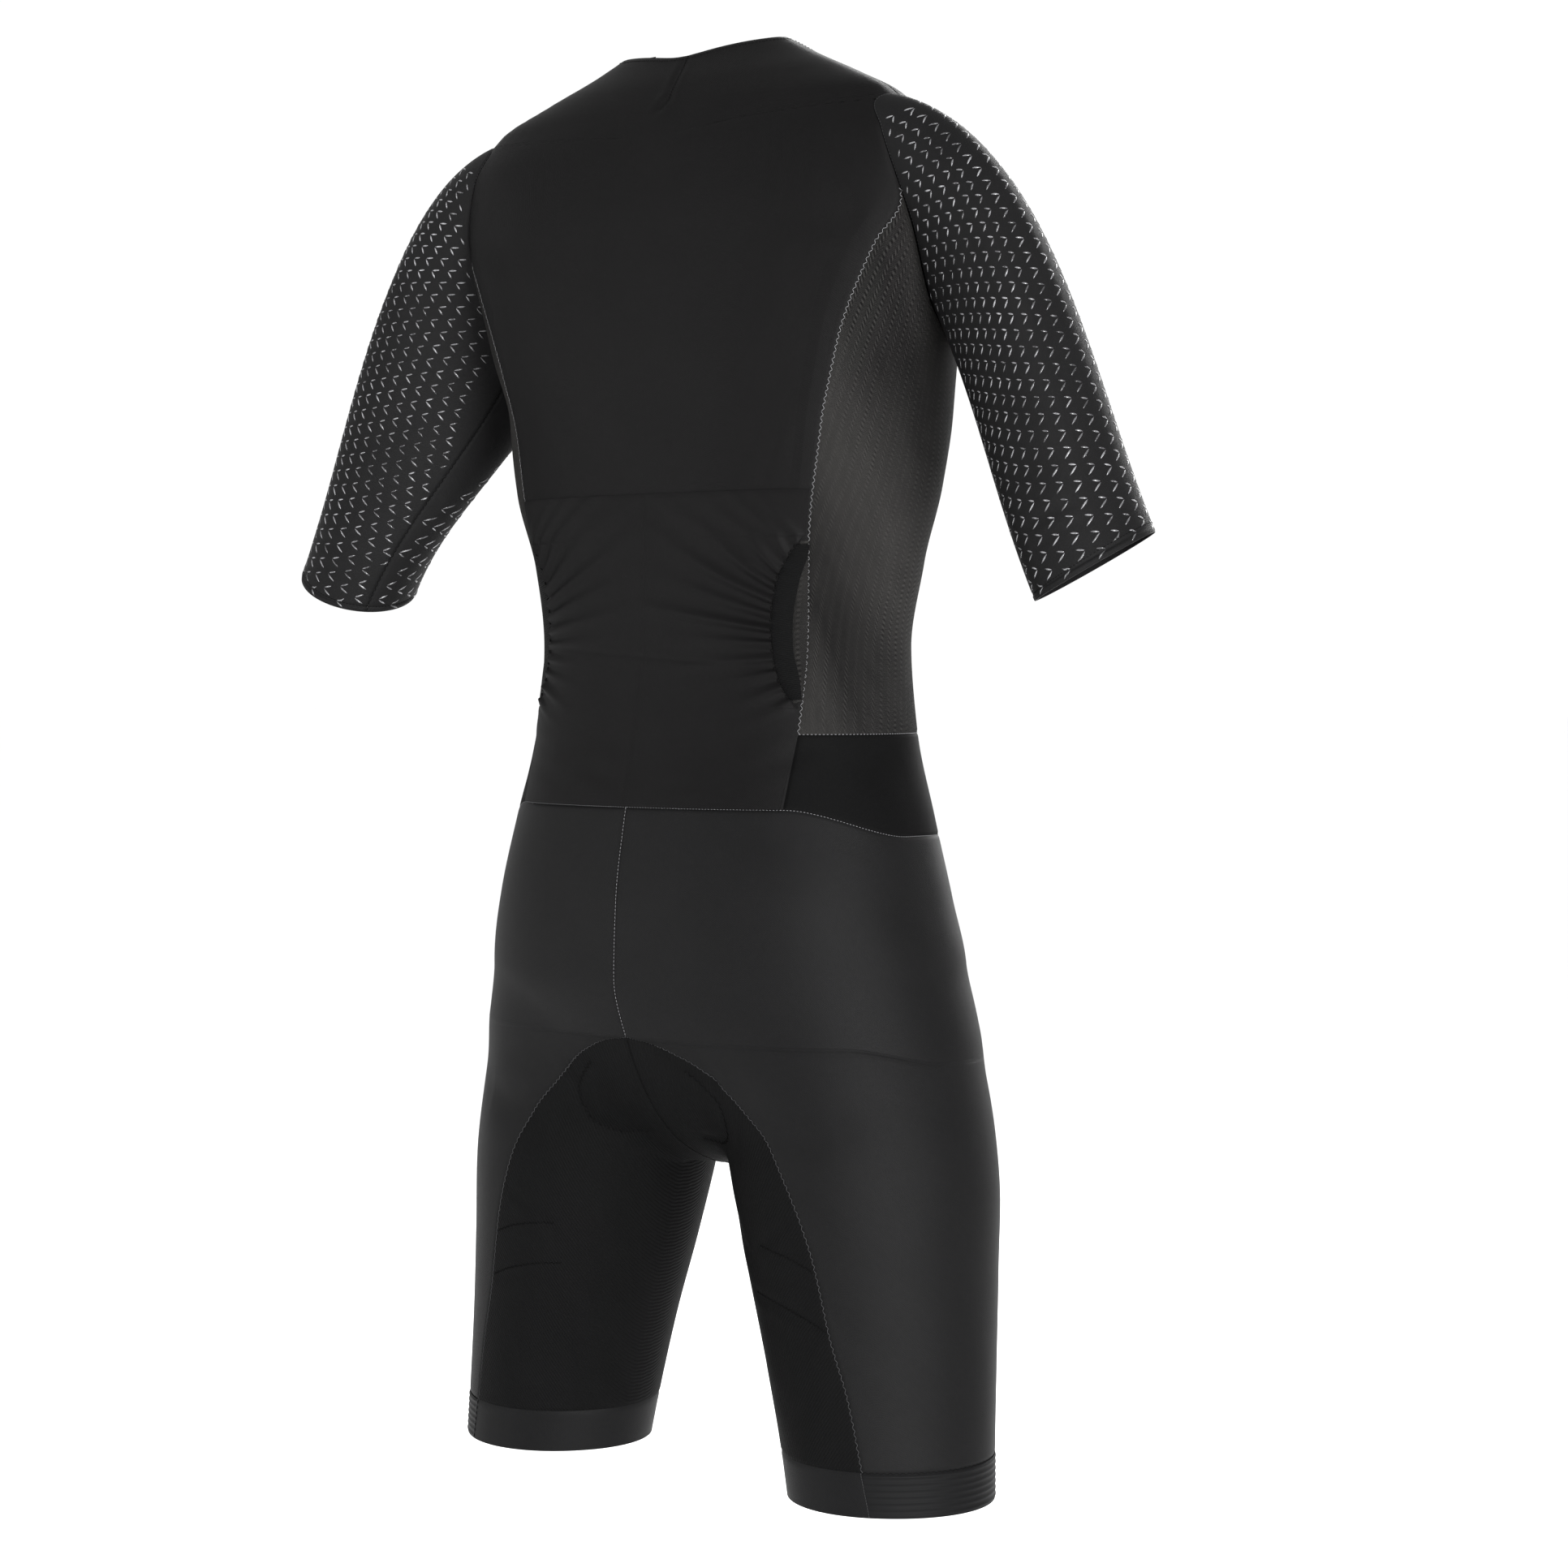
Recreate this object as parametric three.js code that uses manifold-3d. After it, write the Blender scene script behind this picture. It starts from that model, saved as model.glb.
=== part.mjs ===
import * as THREE from 'three';
import Module from 'manifold-3d';
import { mergeVertices } from 'three/addons/utils/BufferGeometryUtils.js';

// A one-piece short-sleeved triathlon suit in its worn form, in millimetres.
// The wearer faces -Y, +X is the wearer's left, and the shoulders that hold it are at the origin.

const DEGREE = Math.PI / 180;
const WALL = 1.2;
const SEAM_GAP = 0.3;
const LAYER_CLEARANCE = 0.8;

// Halvings and reach of the searches for a point on a surface, and the step that finds its slope
const HALVINGS = 34;
const SEARCH_REACH = 260;
const SLOPE_STEP = 0.4;
const TURN_STEP = 0.004;

// Heights of the long seams
const NECK_SIDE_Z = 1;
const NECK_BACK_Z = -12;
const NECK_FRONT_Z = -52;
const SIDE_PANEL_BOTTOM_Z = -462;
const WAIST_BACK_Z = -510;
const WAIST_SIDE_Z = -528;
const WAIST_FRONT_Z = -532;
const HEM_BAND_TOP_Z = -926;
const HEM_Z = -954;
const SEAT_ARCH_Z = -660;
const SEAT_ARCH_FRACTION = (WAIST_BACK_Z - SEAT_ARCH_Z) / (WAIST_BACK_Z - HEM_BAND_TOP_Z);
const FRONT_RISE_Z = WAIST_FRONT_Z + (HEM_BAND_TOP_Z - WAIST_FRONT_Z) * SEAT_ARCH_FRACTION;

// Pocket on the lower back
const POCKET_TOP_Z = -305;
const MOUTH_TOP_Z = -334;
const MOUTH_BOTTOM_Z = -446;
const GATHERS = 12;
const GATHER_RISE = 2.4;
const GATHER_REACH = 30;
const ROWS_PER_GATHER = 3;
const ROWS_ABOVE_MOUTH = 3;
const ROWS_BELOW_MOUTH = 4;
const POCKET_SEAM_MARGIN = 0.6;
const POCKET_COLUMN_SHARES = [0, 0.07, 0.17, 0.32, 0.49, 0.66, 0.83, 1];
const BAND_END_MARGIN = 6;
const BAND_ROWS = 16;
const BAND_COLUMNS = 2;

// Front zip
const TAPE_INNER_X = 1.4;
const TAPE_OUTER_X = 10;
const SLIDER_Z = -78;
const SLIDER = { width: 8, length: 11, plate: 1.4, clearance: 0.3, neckWidth: 1.8, neckLength: 5 };
const BRIDGE = { width: 2.2, opening: 2.6, openingLength: 4, bar: 1.4, post: 1.5 };
const PULL = { width: 7, length: 25, thickness: 1.6, armInside: 1.6, bodyStart: 5.2, corner: 1.5 };

// Grip ribs round the hem
const HEM_RIBS = 7;
const HEM_RIB_RISE = 0.5;

// Colours, roughness and metalness
const BODY_CLOTH = { color: 0x232428, roughness: 0.62, metalness: 0 };
const MESH_KNIT = { color: 0x3a3b3f, roughness: 0.8, metalness: 0 };
const PLAIN_DARK = { color: 0x17181b, roughness: 0.7, metalness: 0 };
const SHORTS_CLOTH = { color: 0x202125, roughness: 0.5, metalness: 0 };
const RIB_CLOTH = { color: 0x1a1b1e, roughness: 0.75, metalness: 0 };
const BAND_CLOTH = { color: 0x1c1d20, roughness: 0.65, metalness: 0 };
const TAPE_CLOTH = { color: 0x1d1e21, roughness: 0.8, metalness: 0 };
const DARK_METAL = { color: 0x2b2c2f, roughness: 0.35, metalness: 0.8 };

// Horizontal sections of the upper body and seat.
// Squareness 2 is an ellipse; the back half and the front half each have their own.
const TORSO_COLUMNS = ['z', 'half', 'mid', 'back', 'front', 'squareBack', 'squareFront'];
const TORSO_ROWS = [
  [6, 46, 24, 38, -30, 2.0, 2.0],
  [0, 60, 24, 42, -36, 2.0, 2.0],
  [-15, 90, 28, 52, -48, 2.0, 2.0],
  [-32, 128, 36, 63, -60, 2.1, 2.0],
  [-50, 164, 44, 71, -68, 2.2, 2.0],
  [-80, 188, 42, 80, -80, 2.8, 2.1],
  [-130, 192, 28, 88, -92, 3.0, 2.2],
  [-190, 181, 12, 91, -100, 2.9, 2.2],
  [-250, 169, -2, 88, -100, 2.9, 2.2],
  [-300, 161, -6, 86, -88, 2.9, 2.2],
  [-350, 147, -5, 85, -84, 2.6, 2.2],
  [-405, 138, -2, 86, -86, 2.5, 2.1],
  [-460, 142, 0, 93, -92, 2.4, 2.1],
  [-520, 157, 0, 107, -96, 2.3, 2.1],
  [-570, 169, 0, 115, -104, 2.3, 2.1],
  [-620, 179, 0, 117, -112, 2.2, 2.1],
  [-665, 177, 0, 103, -102, 2.2, 2.1],
  [-700, 160, 0, 84, -82, 2.1, 2.0],
  [-730, 130, 0, 56, -56, 2.0, 2.0],
  [-746, 96, 0, 28, -30, 2.0, 2.0],
  [-754, 66, 0, 6, -8, 2.0, 2.0],
];

// Sections of one thigh about its own axis; the long way of the section is turned towards the front.
const LEG_COLUMNS = ['z', 'x', 'y', 'long', 'short', 'square'];
const LEG_ROWS = [
  [-600, 84, 0, 84, 84, 2.1],
  [-650, 94, 0, 90, 87, 2.1],
  [-700, 105, 0, 91, 86, 2.1],
  [-752, 116, 0, 88, 84, 2.1],
  [-810, 124, 2, 82, 78, 2.1],
  [-870, 133, 5, 75, 71, 2.1],
  [-930, 141, 8, 69, 66, 2.1],
  [-990, 148, 11, 65, 62, 2.1],
];
const LEG_LONG_AXIS_TURN = 39 * DEGREE;
const LEG_BLEND_TOP_Z = -600;
const LEG_BLEND_DEPTH = 60;
const SEAT_BLEND = 18;
const CROTCH_BLEND = 14;
const LEG_AXIS_START_Z = -640;

// Seam positions as angles round the body from centre back, in degrees
const WAIST_DIP_START = 54;
const WAIST_DIP_END = 86;
const WAIST_FRONT_START = 150;
const SIDE_EDGE_FADE = 40;
const SHOULDER_SEAM_COLUMNS = ['z', 'angle'];
const SHOULDER_SEAM_ROWS = [
  [NECK_SIDE_Z, 105],
  [-10, 103],
  [-24, 100],
  [-40, 97],
];
const SIDE_EDGE_COLUMNS = ['z', 'behind', 'infront'];
const SIDE_EDGE_ROWS = [
  [-110, 83.5, 102],
  [-167, 73.5, 107],
  [-217, 66, 113],
  [-263, 61.5, 118],
  [-314, 59.5, 120],
  [-355, 60.5, 120],
  [-405, 62, 119],
  [-462, 59.5, 118],
  [-510, 54, 118],
  [-535, 52, 118],
];
// Pocket mouth, where the gathered cloth ends, and the free edge of its elastic
const MOUTH_COLUMNS = ['z', 'gathered', 'free'];
const MOUTH_ROWS = [
  [-334, 58.6, 60.6],
  [-347, 55.6, 60.2],
  [-364, 52.8, 58.6],
  [-388, 52.0, 57.8],
  [-408, 52.8, 58.4],
  [-427, 54.6, 60.2],
  [-446, 59.0, 61.0],
];
// Edges of the seat and inner thigh panel as angles round the thigh from straight back
const INNER_EDGE_COLUMNS = ['z', 'behind', 'infront'];
const INNER_EDGE_ROWS = [
  [-665, -35, -137],
  [-675, -28, -138],
  [-694, -19, -140],
  [-720, -6, -143],
  [-755, 3, -148],
  [-800, 10, -152],
  [-845, 13, -155],
  [-880, 18, -157],
  [-926, 22, -158],
  [-955, 25, -159],
];

// The armhole is a leaning oval seen from the side
const ARMHOLE = { y: 15, z: -130, halfDepth: 37, halfHeight: 75, lean: 30 };
const ARMHOLE_TOP = 106 * DEGREE;
const ARMHOLE_BACK_APEX = 15 * DEGREE;
const ARMHOLE_FRONT_APEX = 196 * DEGREE;

// Sleeve
const CUFF = { x: 317, y: 36, z: -358, radius: 42, tilt: 26 * DEGREE, lean: 15 * DEGREE };
const SLEEVE_SEAM_STEP = 4;
const SLEEVE_START_LIFT = 0.4;

// The largest folds: a line from one point to another on the wearer's left, its width and depth.
// Mirrored folds lie on the wearer's right, at the given share of the depth.
const FOLD_COLUMNS = ['x1', 'y1', 'z1', 'x2', 'y2', 'z2', 'width', 'depth', 'mirror'];
const FOLD_ROWS = [
  [205, 60, -190, 262, 82, -232, 12, 3.0, 0.9],
  [222, 62, -238, 290, 78, -262, 11, 2.4, 1.0],
  [252, 70, -300, 318, 84, -292, 12, 2.2, 0.9],
  [178, 44, -215, 138, 74, -272, 16, 3.0, 0.8],
  [150, 10, -400, 136, 46, -432, 14, 2.2, 0.9],
  [150, 0, -470, 140, 46, -488, 14, 2.0, 0.8],
  [146, 77, -710, 85, 90, -724, 16, 4.0, 0.8],
  [85, 90, -724, 30, 62, -738, 14, 3.5, 0.8],
  [180, -52, -214, 140, -76, -268, 16, 3.0, 0.8],
  [196, -30, -196, 262, -8, -236, 12, 2.6, 0.9],
  [120, -62, -400, 60, -86, -442, 18, 2.5, 0.8],
  [60, -80, -640, 150, -70, -690, 18, 3.5, 0.9],
];

const FOLD_CLEAR_OF_ARMHOLE = 2;
const FOLD_FADE_AT_ARMHOLE = 22;

// Smooth curve through points whose keys rise; it never overshoots them.
function monotoneCurve(keys, values) {
  const last = keys.length - 1;
  const secants = [];
  for (let i = 0; i < last; i += 1) {
    secants.push((values[i + 1] - values[i]) / (keys[i + 1] - keys[i]));
  }
  const slopes = [secants[0]];
  for (let i = 1; i < last; i += 1) {
    const before = keys[i] - keys[i - 1];
    const after = keys[i + 1] - keys[i];
    const turns = secants[i - 1] * secants[i] <= 0;
    const weightBefore = 2 * after + before;
    const weightAfter = after + 2 * before;
    const weighted = weightBefore / secants[i - 1] + weightAfter / secants[i];
    const harmonic = (weightBefore + weightAfter) / weighted;
    slopes.push(turns ? 0 : harmonic);
  }
  slopes.push(secants[last - 1]);
  return (wanted) => {
    const key = THREE.MathUtils.clamp(wanted, keys[0], keys[last]);
    let i = 0;
    while (i < last - 1 && key > keys[i + 1]) {
      i += 1;
    }
    const span = keys[i + 1] - keys[i];
    const t = (key - keys[i]) / span;
    const start = (1 + 2 * t) * (1 - t) ** 2 * values[i] + t * (1 - t) ** 2 * span * slopes[i];
    const end = t * t * (3 - 2 * t) * values[i + 1] + t * t * (t - 1) * span * slopes[i + 1];
    return start + end;
  };
}

// A table whose first column is a falling height: returns all its other columns at a height.
function heightTable(columns, rows) {
  const drops = rows.map((row) => -row[0]);
  const values = (c) => rows.map((row) => row[c + 1]);
  const curves = columns.slice(1).map((column, c) => [column, monotoneCurve(drops, values(c))]);
  return (z) => Object.fromEntries(curves.map(([column, curve]) => [column, curve(-z)]));
}

const torsoAt = heightTable(TORSO_COLUMNS, TORSO_ROWS);
const legAt = heightTable(LEG_COLUMNS, LEG_ROWS);
const shoulderSeamAt = heightTable(SHOULDER_SEAM_COLUMNS, SHOULDER_SEAM_ROWS);
const sideEdgeAt = heightTable(SIDE_EDGE_COLUMNS, SIDE_EDGE_ROWS);
const mouthAt = heightTable(MOUTH_COLUMNS, MOUTH_ROWS);
const innerEdgeAt = heightTable(INNER_EDGE_COLUMNS, INNER_EDGE_ROWS);
const torsoEndZ = TORSO_ROWS[TORSO_ROWS.length - 1][0];
const innerEdgeTopZ = INNER_EDGE_ROWS[0][0];
const RISE_MARGIN = 6;
const folds = FOLD_ROWS.map((row) => Object.fromEntries(FOLD_COLUMNS.map((column, c) => [column, row[c]])));

const mix = THREE.MathUtils.lerp;
const smoothstep = THREE.MathUtils.smoothstep;
const steps = (count) => Array.from({ length: count + 1 }, (_, i) => i / count);

// Point of the torso at an angle from centre back towards the wearer's left.
function torsoPoint(angle, z) {
  const row = torsoAt(z);
  const sine = Math.sin(angle);
  const cosine = Math.cos(angle);
  const depth = cosine > 0 ? row.back - row.mid : row.mid - row.front;
  const power = cosine > 0 ? row.squareBack : row.squareFront;
  const sum = (Math.abs(sine) / row.half) ** power + (Math.abs(cosine) / depth) ** power;
  const radius = sum ** (-1 / power);
  return new THREE.Vector3(radius * sine, row.mid + radius * cosine, z);
}

// Half width of the torso at a depth and height.
function torsoHalfWidth(y, z) {
  const row = torsoAt(z);
  const depth = y > row.mid ? row.back - row.mid : row.mid - row.front;
  const power = y > row.mid ? row.squareBack : row.squareFront;
  return row.half * (1 - (Math.abs(y - row.mid) / depth) ** power) ** (1 / power);
}

// Below zero inside the torso.
function torsoValue(x, y, z) {
  const row = torsoAt(z);
  const depth = y > row.mid ? row.back - row.mid : row.mid - row.front;
  const power = y > row.mid ? row.squareBack : row.squareFront;
  const norm = ((Math.abs(x) / row.half) ** power + (Math.abs(y - row.mid) / depth) ** power) ** (1 / power);
  return (norm - 1) * Math.min(row.half, depth);
}

function smoothMinimum(a, b, reach) {
  const share = THREE.MathUtils.clamp(0.5 + (0.5 * (b - a)) / reach, 0, 1);
  return mix(b, a, share) - reach * share * (1 - share);
}

function thighValue(x, y, z, side) {
  const row = legAt(z);
  const across = (x - row.x * side) * side;
  const behind = y - row.y;
  const cosine = Math.cos(LEG_LONG_AXIS_TURN);
  const sine = Math.sin(LEG_LONG_AXIS_TURN);
  const alongLong = cosine * across - sine * behind;
  const alongShort = sine * across + cosine * behind;
  const longPart = (Math.abs(alongLong) / row.long) ** row.square;
  const shortPart = (Math.abs(alongShort) / row.short) ** row.square;
  return ((longPart + shortPart) ** (1 / row.square) - 1) * Math.min(row.long, row.short);
}

// Below zero inside the hips and thighs; the seat runs smoothly into two legs.
function seatValue(x, y, z) {
  const pelvis = z < torsoEndZ ? SEAT_BLEND * 2 : torsoValue(x, y, z);
  if (z > LEG_BLEND_TOP_Z) {
    return pelvis;
  }
  const legs = smoothMinimum(thighValue(x, y, z, 1), thighValue(x, y, z, -1), CROTCH_BLEND);
  const grown = THREE.MathUtils.clamp((LEG_BLEND_TOP_Z - z) / LEG_BLEND_DEPTH, 0, 1);
  return smoothMinimum(pelvis, legs, SEAT_BLEND * grown + 0.5);
}

// Where a level ray from a point inside the shorts leaves them.
function seatPoint(originX, originY, z, angle) {
  let near = 0;
  let far = SEARCH_REACH;
  const stepX = Math.sin(angle);
  const stepY = Math.cos(angle);
  for (let halving = 0; halving < HALVINGS; halving += 1) {
    const middle = (near + far) / 2;
    if (seatValue(originX + stepX * middle, originY + stepY * middle, z) < 0) {
      near = middle;
    } else {
      far = middle;
    }
  }
  return new THREE.Vector3(originX + stepX * near, originY + stepY * near, z);
}

// Height of the waist seam at an angle from centre back: level behind, dipping at the side.
function waistSeamZ(angle) {
  const turned = Math.abs(angle) / DEGREE;
  const side = mix(WAIST_BACK_Z, WAIST_SIDE_Z, smoothstep(turned, WAIST_DIP_START, WAIST_DIP_END));
  return mix(side, WAIST_FRONT_Z, smoothstep(turned, WAIST_DIP_END, WAIST_FRONT_START));
}

function armholePoint(turn) {
  const y = ARMHOLE.y + ARMHOLE.halfDepth * Math.cos(turn) + ARMHOLE.lean * Math.sin(turn);
  const z = ARMHOLE.z + ARMHOLE.halfHeight * Math.sin(turn);
  return new THREE.Vector3(torsoHalfWidth(y, z), y, z);
}

const armholeSamples = steps(40).map((t) => armholePoint(2 * Math.PI * t));

function torsoAngle(point) {
  return Math.atan2(point.x, point.y - torsoAt(point.z).mid);
}

// How far the folds move a point of the cloth inwards.
function foldDepth(point) {
  const place = new THREE.Vector3(Math.abs(point.x), point.y, point.z);
  const share = new THREE.Vector3();
  let depth = 0;
  for (const fold of folds) {
    const line = new THREE.Line3(
      new THREE.Vector3(fold.x1, fold.y1, fold.z1),
      new THREE.Vector3(fold.x2, fold.y2, fold.z2),
    );
    const along = line.closestPointToPointParameter(place, true);
    const distance = line.at(along, share).distanceTo(place);
    const fade = 0.35 + 0.65 * Math.sin(Math.PI * along);
    const size = point.x < 0 ? fold.depth * fold.mirror : fold.depth;
    depth += size * fade * Math.exp(-((distance / fold.width) ** 2));
  }
  const fromSeam = Math.min(...armholeSamples.map((sample) => sample.distanceTo(place)));
  return depth * smoothstep(fromSeam, FOLD_CLEAR_OF_ARMHOLE, FOLD_FADE_AT_ARMHOLE);
}

// A grid of points that share one surface gets the surface's own outward normal at each point.
function withNormals(grid, value) {
  return grid.map((row) => row.map((point) => ({ point, normal: gradient(value, point) })));
}

function gradient(value, point) {
  const h = SLOPE_STEP;
  const { x, y, z } = point;
  return new THREE.Vector3(
    value(x + h, y, z) - value(x - h, y, z),
    value(x, y + h, z) - value(x, y - h, z),
    value(x, y, z + h) - value(x, y, z - h),
  ).normalize();
}

// Moves the first and last rows and columns of a grid back from the seam.
function insetPoints(grid, amount) {
  const lastRow = grid.length - 1;
  const lastColumn = grid[0].length - 1;
  const points = grid.map((row) => row.map((station) => station.point.clone()));
  const pull = (point, inner) => point.add(inner.clone().sub(point).setLength(amount));
  for (let c = 0; c <= lastColumn; c += 1) {
    pull(points[0][c], points[1][c]);
    pull(points[lastRow][c], points[lastRow - 1][c]);
  }
  for (let r = 0; r <= lastRow; r += 1) {
    pull(points[r][0], points[r][1]);
    pull(points[r][lastColumn], points[r][lastColumn - 1]);
  }
  return points;
}

// Whether rows and columns of a grid turn the same way round as its normals.
function turnsOutward(grid) {
  let facing = 0;
  for (let r = 1; r < grid.length; r += 1) {
    for (let c = 1; c < grid[0].length; c += 1) {
      const across = grid[r][c].point.clone().sub(grid[r][c - 1].point);
      const down = grid[r][c].point.clone().sub(grid[r - 1][c].point);
      facing += Math.sign(across.cross(down).dot(grid[r][c].normal));
    }
  }
  return facing > 0;
}

// A closed cloth wall over a grid of stations, each a point of the outer face and its normal.
// lift: how far the whole wall stands off the grid; raise: extra height of the outer face alone
function clothWall(name, finish, grid, { lift = 0, raise = () => 0 } = {}) {
  const points = insetPoints(grid, SEAM_GAP / 2);
  const outwardTurn = turnsOutward(grid);
  const rows = grid.length;
  const columns = grid[0].length;
  const positions = [];
  const pushFace = (offsetAt) => {
    points.forEach((row, r) => row.forEach((point, c) => {
      const offset = offsetAt(r, c, point) - foldDepth(point);
      const moved = point.clone().addScaledVector(grid[r][c].normal, offset);
      positions.push(moved.x, moved.y, moved.z);
    }));
  };
  pushFace((r, c, point) => lift + raise(r, c, point));
  pushFace(() => lift - WALL);
  const outer = (r, c) => r * columns + c;
  const inner = (r, c) => rows * columns + r * columns + c;
  const indices = [];
  const quad = (a, b, c, d) => {
    if (outwardTurn) {
      indices.push(a, b, c, a, c, d);
    } else {
      indices.push(a, c, b, a, d, c);
    }
  };
  for (let r = 0; r < rows - 1; r += 1) {
    for (let c = 0; c < columns - 1; c += 1) {
      quad(outer(r, c), outer(r, c + 1), outer(r + 1, c + 1), outer(r + 1, c));
      quad(inner(r, c), inner(r + 1, c), inner(r + 1, c + 1), inner(r, c + 1));
    }
  }
  for (let c = 0; c < columns - 1; c += 1) {
    quad(outer(0, c), inner(0, c), inner(0, c + 1), outer(0, c + 1));
    quad(outer(rows - 1, c), outer(rows - 1, c + 1), inner(rows - 1, c + 1), inner(rows - 1, c));
  }
  for (let r = 0; r < rows - 1; r += 1) {
    quad(outer(r, 0), outer(r + 1, 0), inner(r + 1, 0), inner(r, 0));
    quad(outer(r, columns - 1), inner(r, columns - 1), inner(r + 1, columns - 1), outer(r + 1, columns - 1));
  }
  return solid(name, finish, positions, indices);
}

function solid(name, finish, positions, indices) {
  const geometry = new THREE.BufferGeometry();
  geometry.setAttribute('position', new THREE.Float32BufferAttribute(positions, 3));
  geometry.setIndex(indices);
  geometry.computeVertexNormals();
  const mesh = new THREE.Mesh(geometry, new THREE.MeshStandardMaterial(finish));
  mesh.name = name;
  return mesh;
}

// Rows and columns of the panels: down the shoulder seam, round the armhole, down the side panel,
// down the side insert, then across each panel
const SHOULDER_STEPS = 4;
const ARMHOLE_STEPS = 5;
const UNDERARM_STEPS = 10;
const SIDE_STEPS = 10;
const INSERT_STEPS = 2;
const BACK_COLUMNS = 18;
const FRONT_COLUMNS = 9;
const INNER_COLUMNS = 9;
const LEG_BACK_COLUMNS = 6;
const LEG_FRONT_COLUMNS = 5;
const HEM_COLUMNS = 12;
const HEM_INNER_COLUMNS = 8;
const HEM_INNER_ROWS = 2;
const LEAST_ROW_DROP = 2.5;
const shoulderEndZ = armholePoint(ARMHOLE_TOP).z;

// Side edge of the back panel or a front panel, from the neck down to the waist seam.
function bodiceEdge(isFront) {
  const apexTurn = isFront ? ARMHOLE_FRONT_APEX : ARMHOLE_BACK_APEX;
  const apex = armholePoint(apexTurn);
  const sideAngle = (z) => {
    const fade = smoothstep(apex.z - z, 0, SIDE_EDGE_FADE);
    const side = sideEdgeAt(z);
    return mix(torsoAngle(apex), (isFront ? side.infront : side.behind) * DEGREE, fade);
  };
  const edge = [];
  for (const t of steps(SHOULDER_STEPS).slice(0, -1)) {
    const z = mix(NECK_SIDE_Z, shoulderEndZ, t ** 1.2);
    const end = torsoAngle(armholePoint(ARMHOLE_TOP));
    edge.push({ z, angle: mix(shoulderSeamAt(z).angle * DEGREE, end, smoothstep(t, 0.5, 1)) });
  }
  for (const t of steps(ARMHOLE_STEPS).slice(0, -1)) {
    const point = armholePoint(mix(ARMHOLE_TOP, apexTurn, t));
    edge.push({ z: point.z, angle: torsoAngle(point) });
  }
  for (const t of steps(SIDE_STEPS)) {
    const z = mix(apex.z, SIDE_PANEL_BOTTOM_Z, t);
    edge.push({ z, angle: sideAngle(z) });
  }
  const lowAngle = sideAngle(WAIST_BACK_Z);
  const endZ = waistSeamZ(lowAngle);
  for (const t of steps(INSERT_STEPS).slice(1)) {
    const z = mix(SIDE_PANEL_BOTTOM_Z, endZ, t);
    edge.push({ z, angle: mix(sideAngle(SIDE_PANEL_BOTTOM_Z), lowAngle, t) });
  }
  return edge;
}

// Heights at the middle of the bodice for each row of its side edge, always falling.
function bodiceMiddle(edge, neckZ, waistZ) {
  const endZ = edge[edge.length - 1].z;
  let height = NECK_SIDE_Z + LEAST_ROW_DROP;
  return edge.map((row) => {
    height = Math.min(row.z, height - LEAST_ROW_DROP);
    return mix(neckZ, waistZ, (NECK_SIDE_Z - height) / (NECK_SIDE_Z - endZ));
  });
}

const backEdge = bodiceEdge(false);
const frontEdge = bodiceEdge(true);

function backPanelGrid(columns) {
  const middle = bodiceMiddle(backEdge, NECK_BACK_Z, WAIST_BACK_Z);
  return backEdge.map((row, r) => steps(columns).map((t) => {
    const across = 2 * t - 1;
    const z = mix(middle[r], row.z, Math.abs(across) ** 2);
    return torsoPoint(row.angle * across, z);
  }));
}

// Front panel on the wearer's left, from the side edge to the zip tape.
function frontPanelGrid(columns) {
  const middle = bodiceMiddle(frontEdge, NECK_FRONT_Z, WAIST_FRONT_Z);
  return frontEdge.map((row, r) => {
    const centre = torsoPoint(Math.PI, middle[r]);
    const mid = torsoAt(middle[r]).mid;
    const zipAngle = Math.PI - Math.atan2(TAPE_OUTER_X, mid - centre.y);
    return steps(columns).map((t) => {
      const z = mix(row.z, middle[r], 1 - (1 - t) ** 2);
      return torsoPoint(mix(row.angle, zipAngle, t), z);
    });
  });
}

function sidePanelGrid(columns) {
  const rows = steps(SIDE_STEPS);
  const firstSide = SHOULDER_STEPS + ARMHOLE_STEPS;
  return rows.map((down, r) => steps(columns).map((across) => {
    const arc = armholePoint(mix(ARMHOLE_BACK_APEX, ARMHOLE_FRONT_APEX - 2 * Math.PI, across));
    const behind = backEdge[firstSide + r];
    const infront = frontEdge[firstSide + r];
    const straight = mix(behind.angle, infront.angle, across);
    const topStraight = mix(backEdge[firstSide].angle, frontEdge[firstSide].angle, across);
    const angle = straight + (1 - down) ** 2 * (torsoAngle(arc) - topStraight);
    return torsoPoint(angle, mix(arc.z, SIDE_PANEL_BOTTOM_Z, down));
  }));
}

function sideInsertGrid(columns) {
  const first = SHOULDER_STEPS + ARMHOLE_STEPS + SIDE_STEPS;
  return steps(INSERT_STEPS).map((down, r) => steps(columns).map((across) => {
    const angle = mix(backEdge[first + r].angle, frontEdge[first + r].angle, across);
    return torsoPoint(angle, mix(SIDE_PANEL_BOTTOM_Z, waistSeamZ(angle), down));
  }));
}

// Rows of the pocket: plain above and below, some to each gather along the mouth.
function pocketHeights() {
  const above = steps(ROWS_ABOVE_MOUTH).slice(0, -1).map((t) => mix(POCKET_TOP_Z, MOUTH_TOP_Z, t));
  const mouth = steps(GATHERS * ROWS_PER_GATHER).map((t) => mix(MOUTH_TOP_Z, MOUTH_BOTTOM_Z, t));
  const below = steps(ROWS_BELOW_MOUTH).slice(1).map((t) => mix(MOUTH_BOTTOM_Z, WAIST_BACK_Z, t));
  return [...above, ...mouth, ...below];
}

function pocketEdgeAngle(z) {
  const inMouth = z < MOUTH_TOP_Z && z > MOUTH_BOTTOM_Z;
  const side = sideEdgeAt(z).behind - POCKET_SEAM_MARGIN;
  return (inMouth ? Math.min(mouthAt(z).gathered, side) : side) * DEGREE;
}

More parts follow.
